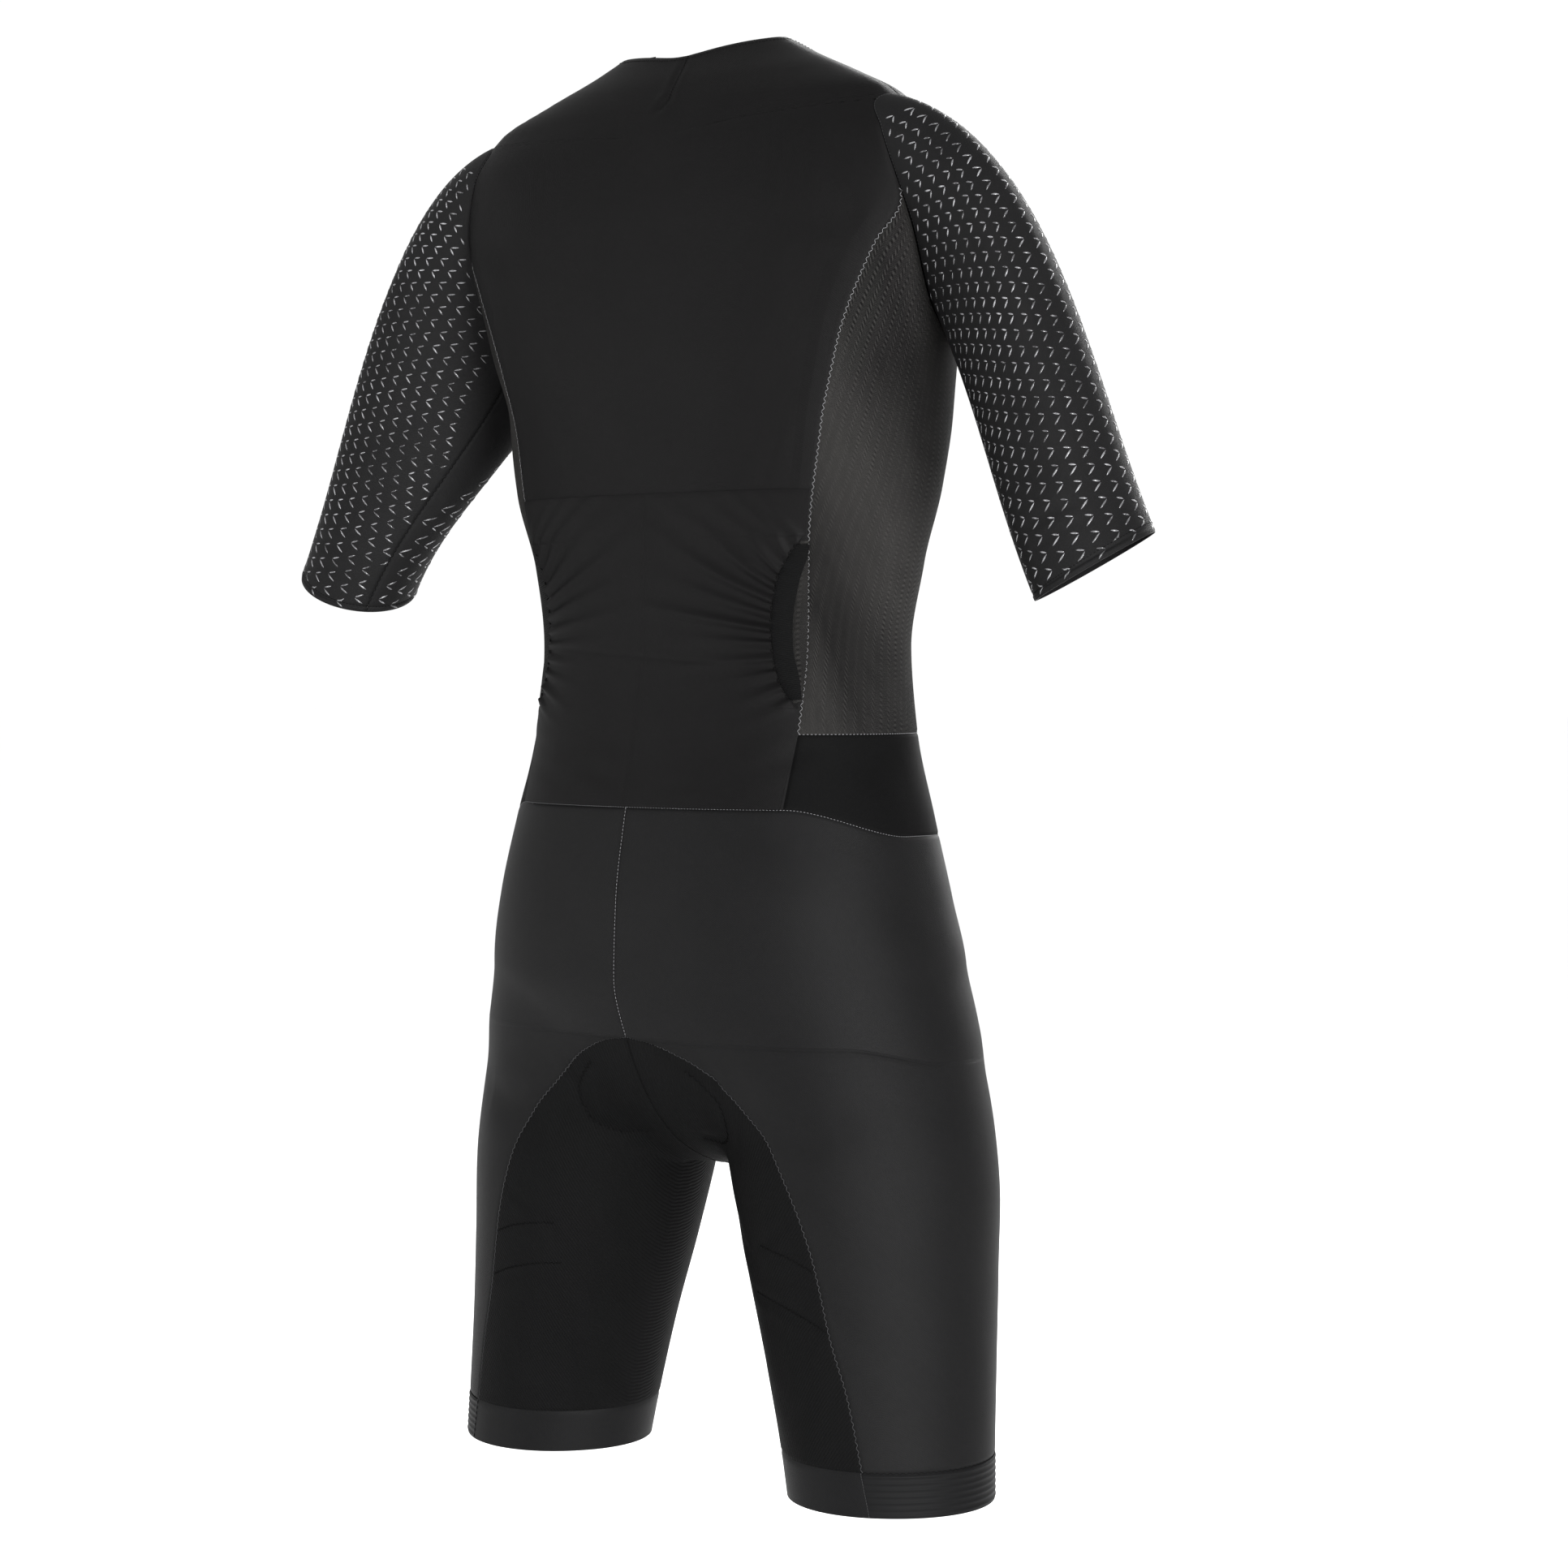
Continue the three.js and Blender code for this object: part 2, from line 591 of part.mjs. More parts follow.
function pocketGrid() {
  const right = POCKET_COLUMN_SHARES.map((share) => share - 1);
  const left = POCKET_COLUMN_SHARES.slice(0, -1).reverse().map((share) => 1 - share);
  const shares = [...right, ...left];
  return pocketHeights().map((z) => shares.map((share) => torsoPoint(pocketEdgeAngle(z) * share, z)));
}

// Gathers stand up along the mouth and die away towards the middle of the back.
function gatherRaise(point) {
  if (point.z > MOUTH_TOP_Z || point.z < MOUTH_BOTTOM_Z) {
    return 0;
  }
  const along = (MOUTH_TOP_Z - point.z) / (MOUTH_TOP_Z - MOUTH_BOTTOM_Z);
  const edge = torsoPoint(pocketEdgeAngle(point.z), point.z);
  const away = edge.distanceTo(new THREE.Vector3(Math.abs(point.x), point.y, point.z));
  const wave = 0.5 - 0.5 * Math.cos(2 * Math.PI * GATHERS * along);
  return GATHER_RISE * wave * Math.exp(-away / GATHER_REACH) * Math.min(1, 8 * along * (1 - along) + 0.4);
}

function pocketBandGrid() {
  return steps(BAND_ROWS).map((t) => {
    const z = mix(MOUTH_TOP_Z - BAND_END_MARGIN, MOUTH_BOTTOM_Z + BAND_END_MARGIN, t);
    const row = mouthAt(z);
    return steps(BAND_COLUMNS).map((s) => torsoPoint(mix(row.gathered, row.free, s) * DEGREE, z));
  });
}

// Sleeve on the wearer's left, from the armhole seam to the cuff, opened along its underarm seam.
const armAxis = new THREE.Vector3(Math.sin(CUFF.tilt), 0.02, -Math.cos(CUFF.tilt)).normalize();
const armOutward = new THREE.Vector3(Math.cos(CUFF.tilt), 0, Math.sin(CUFF.tilt));
const cuffCentre = new THREE.Vector3(CUFF.x, CUFF.y, CUFF.z);
// The cuff hangs lower behind the arm than in front of it.
const cuffBackward = new THREE.Vector3(0, Math.cos(CUFF.lean), 0).addScaledVector(armAxis, Math.sin(CUFF.lean));
const shoulderSlope = new THREE.Vector3(0.97, 0.02, -0.24).normalize();

function sleevePoint(turn, down) {
  const start = armholePoint(turn);
  start.addScaledVector(gradient(torsoValue, start), SLEEVE_START_LIFT);
  const end = cuffCentre.clone()
    .addScaledVector(armOutward, CUFF.radius * Math.sin(turn))
    .addScaledVector(cuffBackward, CUFF.radius * Math.cos(turn));
  const length = start.distanceTo(end);
  const height = 0.5 + 0.5 * Math.sin(turn);
  const leave = armAxis.clone().lerp(shoulderSlope, height ** 1.3).normalize().multiplyScalar(length);
  const arrive = armAxis.clone().multiplyScalar(length);
  return start.multiplyScalar((1 + 2 * down) * (1 - down) ** 2)
    .addScaledVector(leave, down * (1 - down) ** 2)
    .addScaledVector(end, down * down * (3 - 2 * down))
    .addScaledVector(arrive, down * down * (down - 1));
}

const SLEEVE_RINGS = [0, 0.05, 0.13, 0.23, 0.34, 0.45, 0.56, 0.67, 0.78, 0.89, 1];

function sleeveNormal(turn, down) {
  const h = TURN_STEP;
  const along = sleevePoint(turn, Math.min(down + h, 1)).sub(sleevePoint(turn, Math.max(down - h, 0)));
  const around = sleevePoint(turn + h, down).sub(sleevePoint(turn - h, down));
  return around.cross(along).normalize();
}

// Turns round the armhole, from the underarm seam of the sleeve once round and back to it.
// They are the turns that the bodice panels use, so both sides of the seam match.
function sleeveTurns() {
  const round = 2 * Math.PI;
  const underarm = steps(UNDERARM_STEPS).map((t) => mix(ARMHOLE_BACK_APEX, ARMHOLE_FRONT_APEX - round, t));
  const back = steps(ARMHOLE_STEPS).map((t) => mix(ARMHOLE_TOP, ARMHOLE_BACK_APEX, t));
  const front = steps(ARMHOLE_STEPS).map((t) => mix(ARMHOLE_FRONT_APEX, ARMHOLE_TOP, t));
  const afterSeam = underarm.slice(SLEEVE_SEAM_STEP).map((turn) => turn + round);
  const beforeSeam = underarm.slice(1, SLEEVE_SEAM_STEP + 1);
  return [...afterSeam, ...front.slice(1), ...back.slice(1), ...beforeSeam];
}

function sleeveGrid() {
  const turns = sleeveTurns();
  return SLEEVE_RINGS.map((down) => turns.map((turn) => {
    return { point: sleevePoint(turn, down), normal: sleeveNormal(turn, down) };
  }));
}

// Leg panels. A row is a share of the way from the waist seam to the hem band.
const LEG_SHARES = [0, 0.07, 0.14, 0.22, 0.3, SEAT_ARCH_FRACTION, 0.373, 0.4, 0.44, 0.49, 0.54, 0.61,
  0.7, 0.8, 0.9, 1];
const ARCH_ROW = 5;

function rayOrigin(z) {
  const out = smoothstep(WAIST_FRONT_Z - z, 0, WAIST_FRONT_Z - LEG_AXIS_START_Z);
  const row = legAt(z);
  return { x: row.x * out, y: row.y * out };
}

function backEdgeZ(share) {
  return mix(WAIST_BACK_Z, HEM_BAND_TOP_Z, share);
}

function frontEdgeZ(share) {
  return mix(WAIST_FRONT_Z, HEM_BAND_TOP_Z, share);
}

// Angle, seen from the ray origin, of a point on the middle plane of the body.
function middleAngle(z, isFront) {
  const origin = rayOrigin(z);
  let low = isFront ? -Math.PI : -Math.PI / 2;
  let high = isFront ? -Math.PI / 2 : 0;
  for (let halving = 0; halving < HALVINGS; halving += 1) {
    const angle = (low + high) / 2;
    const past = seatPoint(origin.x, origin.y, z, angle).x < 0;
    if (past === isFront) {
      high = angle;
    } else {
      low = angle;
    }
  }
  return (low + high) / 2;
}

function legEdgeAngle(z, isFront) {
  const seamEnd = isFront ? FRONT_RISE_Z : SEAT_ARCH_Z;
  if (z > seamEnd - 0.01) {
    return middleAngle(z, isFront);
  }
  const row = innerEdgeAt(z);
  return (isFront ? row.infront : row.behind) * DEGREE;
}

function outerLegPoint(share, around) {
  const backZ = backEdgeZ(share);
  const frontZ = frontEdgeZ(share);
  const startAngle = legEdgeAngle(backZ, false);
  const endAngle = legEdgeAngle(frontZ, true) + 2 * Math.PI;
  const angle = mix(startAngle, endAngle, around);
  const top = waistSeamZ(Math.PI * around);
  const z = mix(top, HEM_BAND_TOP_Z, share);
  const origin = rayOrigin(z);
  return seatPoint(origin.x, origin.y, z, angle);
}

// Shares of the way round a leg panel; beside the side insert they match its columns.
function legTurns() {
  const insertStart = backEdge[backEdge.length - 1].angle / Math.PI;
  const insertEnd = frontEdge[frontEdge.length - 1].angle / Math.PI;
  const back = steps(LEG_BACK_COLUMNS).map((t) => insertStart * t);
  const side = steps(UNDERARM_STEPS).map((t) => mix(insertStart, insertEnd, t));
  const front = steps(LEG_FRONT_COLUMNS).map((t) => mix(insertEnd, 1, t));
  return [...back, ...side.slice(1), ...front.slice(1)];
}

function outerLegGrid() {
  const turns = legTurns();
  return LEG_SHARES.map((share) => turns.map((around) => outerLegPoint(share, around)));
}

// The rise: where the two inner panels meet under the body, at a share of the way from back to front.
function riseZ(around) {
  let high = mix(SEAT_ARCH_Z, FRONT_RISE_Z, around);
  let low = torsoEndZ - RISE_MARGIN;
  for (let halving = 0; halving < HALVINGS; halving += 1) {
    const z = (high + low) / 2;
    const origin = rayOrigin(z);
    const angle = innerAngle(z, around);
    if (seatPoint(origin.x, origin.y, z, angle).x < 0) {
      high = z;
    } else {
      low = z;
    }
  }
  return (high + low) / 2;
}

function innerAngle(z, around) {
  const row = innerEdgeAt(z);
  const settled = smoothstep(SEAT_ARCH_Z - z, 0, SEAT_ARCH_Z - innerEdgeTopZ);
  const straight = row.behind * DEGREE;
  const behind = z > innerEdgeTopZ ? mix(middleAngle(z, false), straight, settled) : straight;
  return mix(behind, row.infront * DEGREE, around);
}

function innerPanelGrid(columns) {
  const belowArch = (share) => (share - SEAT_ARCH_FRACTION) / (1 - SEAT_ARCH_FRACTION);
  const shares = LEG_SHARES.slice(ARCH_ROW).map(belowArch);
  return shares.map((down) => steps(columns).map((around) => {
    const z = mix(riseZ(around), HEM_BAND_TOP_Z, down);
    const origin = rayOrigin(z);
    const point = seatPoint(origin.x, origin.y, z, innerAngle(z, around));
    if (down === 0) {
      point.x = 0;
    }
    return point;
  }));
}

function hemBandGrid(columns, rows, isInner) {
  return steps(rows).map((down) => {
    const z = mix(HEM_BAND_TOP_Z, HEM_Z, down);
    const row = innerEdgeAt(z);
    const origin = rayOrigin(z);
    const start = row.behind * DEGREE;
    const end = row.infront * DEGREE + (isInner ? 0 : 2 * Math.PI);
    return steps(columns).map((t) => seatPoint(origin.x, origin.y, z, mix(start, end, t)));
  });
}

// Every second row of the band stands up as a rib.
function hemRib(r) {
  return r % 2 === 1 ? HEM_RIB_RISE : 0;
}

// Mirrors a grid made for the wearer's left to the right.
function mirrored(grid) {
  const image = (vector) => new THREE.Vector3(-vector.x, vector.y, vector.z);
  return grid.map((row) => row.map(({ point, normal }) => ({ point: image(point), normal: image(normal) })));
}

function addPair(group, name, finish, grid, options) {
  group.add(clothWall(`${name}_left`, finish, grid, options));
  group.add(clothWall(`${name}_right`, finish, mirrored(grid), options));
}

// Zip tape on the wearer's left, along the front edge.
function zipTapeGrid() {
  const middle = bodiceMiddle(frontEdge, NECK_FRONT_Z, WAIST_FRONT_Z);
  return middle.map((z) => [TAPE_OUTER_X, (TAPE_OUTER_X + TAPE_INNER_X) / 2, TAPE_INNER_X].map((x) => {
    const mid = torsoAt(z).mid;
    const centre = torsoPoint(Math.PI, z);
    return torsoPoint(Math.PI - Math.atan2(x, mid - centre.y), z);
  }));
}

const wasm = await Module();
wasm.setup();

function toManifold(geometry) {
  const bare = geometry.clone();
  bare.deleteAttribute('normal');
  bare.deleteAttribute('uv');
  const merged = mergeVertices(bare, 1e-4);
  return new wasm.Manifold(new wasm.Mesh({
    numProp: 3,
    vertProperties: new Float32Array(merged.attributes.position.array),
    triVerts: new Uint32Array(merged.index.array),
  }));
}

// One solid from closed geometries that run into each other.
function joined(name, finish, geometries) {
  const mesh = geometries.map(toManifold).reduce((sum, next) => sum.add(next)).getMesh();
  return solid(name, finish, Array.from(mesh.vertProperties), Array.from(mesh.triVerts));
}

function block(width, depth, height, x, y, z) {
  const geometry = new THREE.BoxGeometry(width, depth, height);
  geometry.translate(x, y, z);
  return geometry;
}

// The slider stands on the cloth at local y = 0, with -Y outwards and -Z down the zip.
const plateFront = -(SLIDER.clearance + SLIDER.plate);
const hingeY = plateFront - BRIDGE.opening / 2;

function zipSlider() {
  const plateBack = WALL + SLIDER.clearance;
  const frontPlate = block(SLIDER.width, SLIDER.plate, SLIDER.length, 0, plateFront + SLIDER.plate / 2, 0);
  const backPlate = block(SLIDER.width, SLIDER.plate, SLIDER.length, 0, plateBack + SLIDER.plate / 2, 0);
  const neckDepth = plateBack + SLIDER.clearance + SLIDER.plate;
  const neck = block(SLIDER.neckWidth, neckDepth, SLIDER.neckLength, 0, WALL / 2, 0);
  const barY = plateFront - BRIDGE.opening - BRIDGE.bar / 2;
  const bar = block(BRIDGE.width, BRIDGE.bar, BRIDGE.openingLength + 2 * BRIDGE.post, 0, barY, 0);
  const postDepth = BRIDGE.opening + BRIDGE.bar + SLIDER.plate / 2;
  const postY = plateFront + SLIDER.plate / 2 - postDepth / 2;
  const postZ = BRIDGE.openingLength / 2 + BRIDGE.post / 2;
  const posts = [-1, 1].map((end) => block(BRIDGE.width, postDepth, BRIDGE.post, 0, postY, end * postZ));
  return joined('zip_slider', DARK_METAL, [frontPlate, backPlate, neck, bar, ...posts]);
}

function zipPull() {
  const half = PULL.width / 2;
  const outline = new THREE.Shape();
  outline.moveTo(-half, -PULL.bodyStart);
  outline.lineTo(half, -PULL.bodyStart);
  outline.lineTo(half, -PULL.length + PULL.corner);
  outline.quadraticCurveTo(half, -PULL.length, half - PULL.corner, -PULL.length);
  outline.lineTo(-half + PULL.corner, -PULL.length);
  outline.quadraticCurveTo(-half, -PULL.length, -half, -PULL.length + PULL.corner);
  outline.closePath();
  const cut = { depth: PULL.thickness, bevelEnabled: false, curveSegments: 4 };
  const plate = new THREE.ExtrudeGeometry(outline, cut);
  plate.rotateX(Math.PI / 2);
  plate.translate(0, PULL.thickness / 2, 0);
  const axle = new THREE.CylinderGeometry(PULL.thickness / 2, PULL.thickness / 2, PULL.width, 12);
  axle.rotateZ(Math.PI / 2);
  const armWidth = half - PULL.armInside;
  const armX = PULL.armInside + armWidth / 2;
  const armLength = PULL.bodyStart + 0.4;
  const arm = (side) => block(armWidth, PULL.thickness, armLength, side * armX, 0, -armLength / 2);
  const arms = [arm(-1), arm(1)];
  const pull = joined('zip_pull', DARK_METAL, [plate, axle, ...arms]);
  pull.position.y = hingeY;
  return pull;
}

function zipHardware() {
  const place = torsoPoint(Math.PI, SLIDER_Z);
  const normal = gradient(torsoValue, place);
  const hardware = new THREE.Group();
  hardware.position.copy(place);
  hardware.rotation.x = Math.atan2(-normal.z, -normal.y);
  hardware.add(zipSlider(), zipPull());
  return hardware;
}

const suit = new THREE.Group();
suit.name = 'triathlon_suit';

suit.add(clothWall('back_panel', BODY_CLOTH, withNormals(backPanelGrid(BACK_COLUMNS), torsoValue)));
addPair(suit, 'front_panel', BODY_CLOTH, withNormals(frontPanelGrid(FRONT_COLUMNS), torsoValue));
addPair(suit, 'side_panel', MESH_KNIT, withNormals(sidePanelGrid(UNDERARM_STEPS), torsoValue));
addPair(suit, 'side_waist', PLAIN_DARK, withNormals(sideInsertGrid(UNDERARM_STEPS), torsoValue));
addPair(suit, 'sleeve', BODY_CLOTH, sleeveGrid());
addPair(suit, 'leg_outer', SHORTS_CLOTH, withNormals(outerLegGrid(), seatValue));
addPair(suit, 'inner_panel', RIB_CLOTH, withNormals(innerPanelGrid(INNER_COLUMNS), seatValue));
const ribbedGrid = withNormals(hemBandGrid(HEM_COLUMNS, HEM_RIBS * 2, false), seatValue);
addPair(suit, 'hem_band', BAND_CLOTH, ribbedGrid, { raise: hemRib });
const hemInnerGrid = withNormals(hemBandGrid(HEM_INNER_COLUMNS, HEM_INNER_ROWS, true), seatValue);
addPair(suit, 'hem_inner', BAND_CLOTH, hemInnerGrid);
suit.add(clothWall('pocket_panel', BODY_CLOTH, withNormals(pocketGrid(), torsoValue), {
  lift: LAYER_CLEARANCE + WALL,
  raise: (r, c, point) => gatherRaise(point),
}));
addPair(suit, 'pocket_band', PLAIN_DARK, withNormals(pocketBandGrid(), torsoValue), { lift: LAYER_CLEARANCE + WALL });
addPair(suit, 'zip_tape', TAPE_CLOTH, withNormals(zipTapeGrid(), torsoValue));
suit.add(zipHardware());

export default suit;
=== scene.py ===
import math
from types import SimpleNamespace

import bpy
import numpy as np
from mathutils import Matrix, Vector


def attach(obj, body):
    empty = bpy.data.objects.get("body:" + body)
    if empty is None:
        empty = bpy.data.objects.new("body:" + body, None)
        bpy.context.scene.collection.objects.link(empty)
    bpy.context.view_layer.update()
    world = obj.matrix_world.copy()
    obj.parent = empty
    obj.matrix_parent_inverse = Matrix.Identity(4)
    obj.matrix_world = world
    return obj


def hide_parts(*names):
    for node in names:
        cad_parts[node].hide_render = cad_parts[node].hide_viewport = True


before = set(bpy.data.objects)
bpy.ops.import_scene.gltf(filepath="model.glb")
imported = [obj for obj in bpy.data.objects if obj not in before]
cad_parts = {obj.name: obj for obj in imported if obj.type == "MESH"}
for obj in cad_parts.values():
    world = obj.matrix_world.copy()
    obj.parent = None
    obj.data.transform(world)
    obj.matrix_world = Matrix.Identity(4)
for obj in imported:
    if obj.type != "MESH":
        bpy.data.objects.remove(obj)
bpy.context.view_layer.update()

# Lengths here are in millimetres, as on a pattern cutter's sheet; meshes are made in metres.
MM = 0.001
DEGREE = math.pi / 180
CLOTH = 0.9
SEAM_GAP = 0.06
EDGE_ROLL_REACH = 2.2
EDGE_ROLL_DIP = 0.55
EDGE_ROW_STEPS = [0.35, 0.9, 1.7]
EDGE_ROW_CLEARANCE = 1.3
SLOPE_STEP = 0.4
RAY_REACH = 260.0
POCKET_LIFT = 2.0
POCKET_TOP_LIFT = 1.15
POCKET_TOP_RISE_LENGTH = 22

# Heights of the long seams, and where round the body the waist seam dips, in degrees from centre back
NECK_SIDE_Z = 1
NECK_BACK_Z = -12
NECK_FRONT_Z = -52
SIDE_PANEL_BOTTOM_Z = -462
WAIST_BACK_Z = -510
WAIST_SIDE_Z = -528
WAIST_FRONT_Z = -532
WAIST_DIP_START = 54
WAIST_DIP_END = 86
WAIST_FRONT_START = 150
HEM_BAND_TOP_Z = -926
HEM_Z = -954
SEAT_ARCH_Z = -660
SEAT_ARCH_FRACTION = (WAIST_BACK_Z - SEAT_ARCH_Z) / (WAIST_BACK_Z - HEM_BAND_TOP_Z)
FRONT_RISE_Z = WAIST_FRONT_Z + (HEM_BAND_TOP_Z - WAIST_FRONT_Z) * SEAT_ARCH_FRACTION

# Pocket on the lower back
POCKET_TOP_Z = -305
MOUTH_TOP_Z = -334
MOUTH_BOTTOM_Z = -446
GATHERS = 12
GATHER_RISE = 3.6

# Front zip
TAPE_INNER_X = 1.4
TAPE_OUTER_X = 10

# Grip ribs round the hem
HEM_RIBS = 7
HEM_RIB_RISE = 0.5
HEM_RIB_NARROWNESS = 1.6

# Horizontal sections of the upper body and seat.
# Squareness 2 is an ellipse; the back half and the front half each have their own.
TORSO_COLUMNS = ["z", "half", "mid", "back", "front", "square_back", "square_front"]
TORSO_ROWS = [
    (6, 46, 24, 38, -30, 2.0, 2.0),
    (0, 60, 24, 42, -36, 2.0, 2.0),
    (-15, 90, 28, 52, -48, 2.0, 2.0),
    (-32, 128, 36, 63, -60, 2.1, 2.0),
    (-50, 164, 44, 71, -68, 2.2, 2.0),
    (-80, 188, 42, 80, -80, 2.8, 2.1),
    (-130, 192, 28, 88, -92, 3.0, 2.2),
    (-190, 181, 12, 91, -100, 2.9, 2.2),
    (-250, 169, -2, 88, -100, 2.9, 2.2),
    (-300, 161, -6, 86, -88, 2.9, 2.2),
    (-350, 147, -5, 85, -84, 2.6, 2.2),
    (-405, 138, -2, 86, -86, 2.5, 2.1),
    (-460, 142, 0, 93, -92, 2.4, 2.1),
    (-520, 157, 0, 107, -96, 2.3, 2.1),
    (-570, 169, 0, 115, -104, 2.3, 2.1),
    (-620, 179, 0, 117, -112, 2.2, 2.1),
    (-665, 177, 0, 103, -102, 2.2, 2.1),
    (-700, 160, 0, 84, -82, 2.1, 2.0),
    (-730, 130, 0, 56, -56, 2.0, 2.0),
    (-746, 96, 0, 28, -30, 2.0, 2.0),
    (-754, 66, 0, 6, -8, 2.0, 2.0),
]

# Sections of one thigh about its own axis; the long way of the section is turned towards the front.
LEG_COLUMNS = ["z", "x", "y", "long", "short", "square"]
LEG_ROWS = [
    (-600, 84, 0, 84, 84, 2.1),
    (-650, 94, 0, 90, 87, 2.1),
    (-700, 105, 0, 91, 86, 2.1),
    (-752, 116, 0, 88, 84, 2.1),
    (-810, 124, 2, 82, 78, 2.1),
    (-870, 133, 5, 75, 71, 2.1),
    (-930, 141, 8, 69, 66, 2.1),
    (-990, 148, 11, 65, 62, 2.1),
]
LEG_LONG_AXIS_TURN = 39 * DEGREE
LEG_BLEND_TOP_Z = -600
LEG_BLEND_DEPTH = 60
SEAT_BLEND = 18
CROTCH_BLEND = 14
LEG_AXIS_START_Z = -640

# Seam positions as angles round the body from centre back, in degrees
SHOULDER_SEAM_COLUMNS = ["z", "angle"]
SHOULDER_SEAM_ROWS = [
    (NECK_SIDE_Z, 105),
    (-10, 103),
    (-24, 100),
    (-40, 97),
]
SIDE_EDGE_COLUMNS = ["z", "behind", "infront"]
SIDE_EDGE_ROWS = [
    (-110, 83.5, 102),
    (-167, 73.5, 107),
    (-217, 66, 113),
    (-263, 61.5, 118),
    (-314, 59.5, 120),
    (-355, 60.5, 120),
    (-405, 62, 119),
    (-462, 59.5, 118),
    (-510, 54, 118),
    (-535, 52, 118),
]
# Pocket mouth, where the gathered cloth ends, and the free edge of its elastic
MOUTH_COLUMNS = ["z", "gathered", "free"]
MOUTH_ROWS = [
    (-334, 58.6, 60.6),
    (-347, 55.6, 60.2),
    (-364, 52.8, 58.6),
    (-388, 52.0, 57.8),
    (-408, 52.8, 58.4),
    (-427, 54.6, 60.2),
    (-446, 59.0, 61.0),
]
# Edges of the seat and inner thigh panel as angles round the thigh from straight back
INNER_EDGE_COLUMNS = ["z", "behind", "infront"]
INNER_EDGE_ROWS = [
    (-665, -35, -137),
    (-675, -28, -138),
    (-694, -19, -140),
    (-720, -6, -143),
    (-755, 3, -148),
    (-800, 10, -152),
    (-845, 13, -155),
    (-880, 18, -157),
    (-926, 22, -158),
    (-955, 25, -159),
]

# The armhole is a leaning oval seen from the side
ARMHOLE = SimpleNamespace(y=15, z=-130, half_depth=37, half_height=75, lean=30)
ARMHOLE_TOP = 106 * DEGREE
ARMHOLE_BACK_APEX = 15 * DEGREE
ARMHOLE_FRONT_APEX = 196 * DEGREE

# Sleeve
CUFF = SimpleNamespace(x=317, y=36, z=-358, radius=42, tilt=26 * DEGREE, lean=15 * DEGREE)
SLEEVE_START_LIFT = 0.4
UNDERARM_TURN = -57.4 * DEGREE

# The largest folds: a line between two points on the wearer's left, its width and depth.
# Mirrored folds lie on the wearer's right, at the given share of the depth.
FOLD_COLUMNS = ["x1", "y1", "z1", "x2", "y2", "z2", "width", "depth", "mirror"]
FOLD_ROWS = [
    (205, 60, -190, 262, 82, -232, 12, 3.0, 0.9),
    (222, 62, -238, 290, 78, -262, 11, 2.4, 1.0),
    (252, 70, -300, 318, 84, -292, 12, 2.2, 0.9),
    (178, 44, -215, 138, 74, -272, 16, 3.0, 0.8),
    (150, 10, -400, 136, 46, -432, 14, 2.2, 0.9),
    (150, 0, -470, 140, 46, -488, 14, 2.0, 0.8),
    (146, 77, -710, 85, 90, -724, 16, 4.0, 0.8),
    (85, 90, -724, 30, 62, -738, 14, 3.5, 0.8),
    (180, -52, -214, 140, -76, -268, 16, 3.0, 0.8),
    (196, -30, -196, 262, -8, -236, 12, 2.6, 0.9),
    (120, -62, -400, 60, -86, -442, 18, 2.5, 0.8),
    (60, -80, -640, 150, -70, -690, 18, 3.5, 0.9),
]
FOLD_FADE_AT_ARMHOLE = 22
CREASE_FADE_AT_ARMHOLE = 8
FOLD_END_SHARE = 0.35
CREASE_START = 0.12
CREASE_END = 0.92
CREASE_RIDGE = 0.4
CREASE_RIDGE_AWAY = 1.9

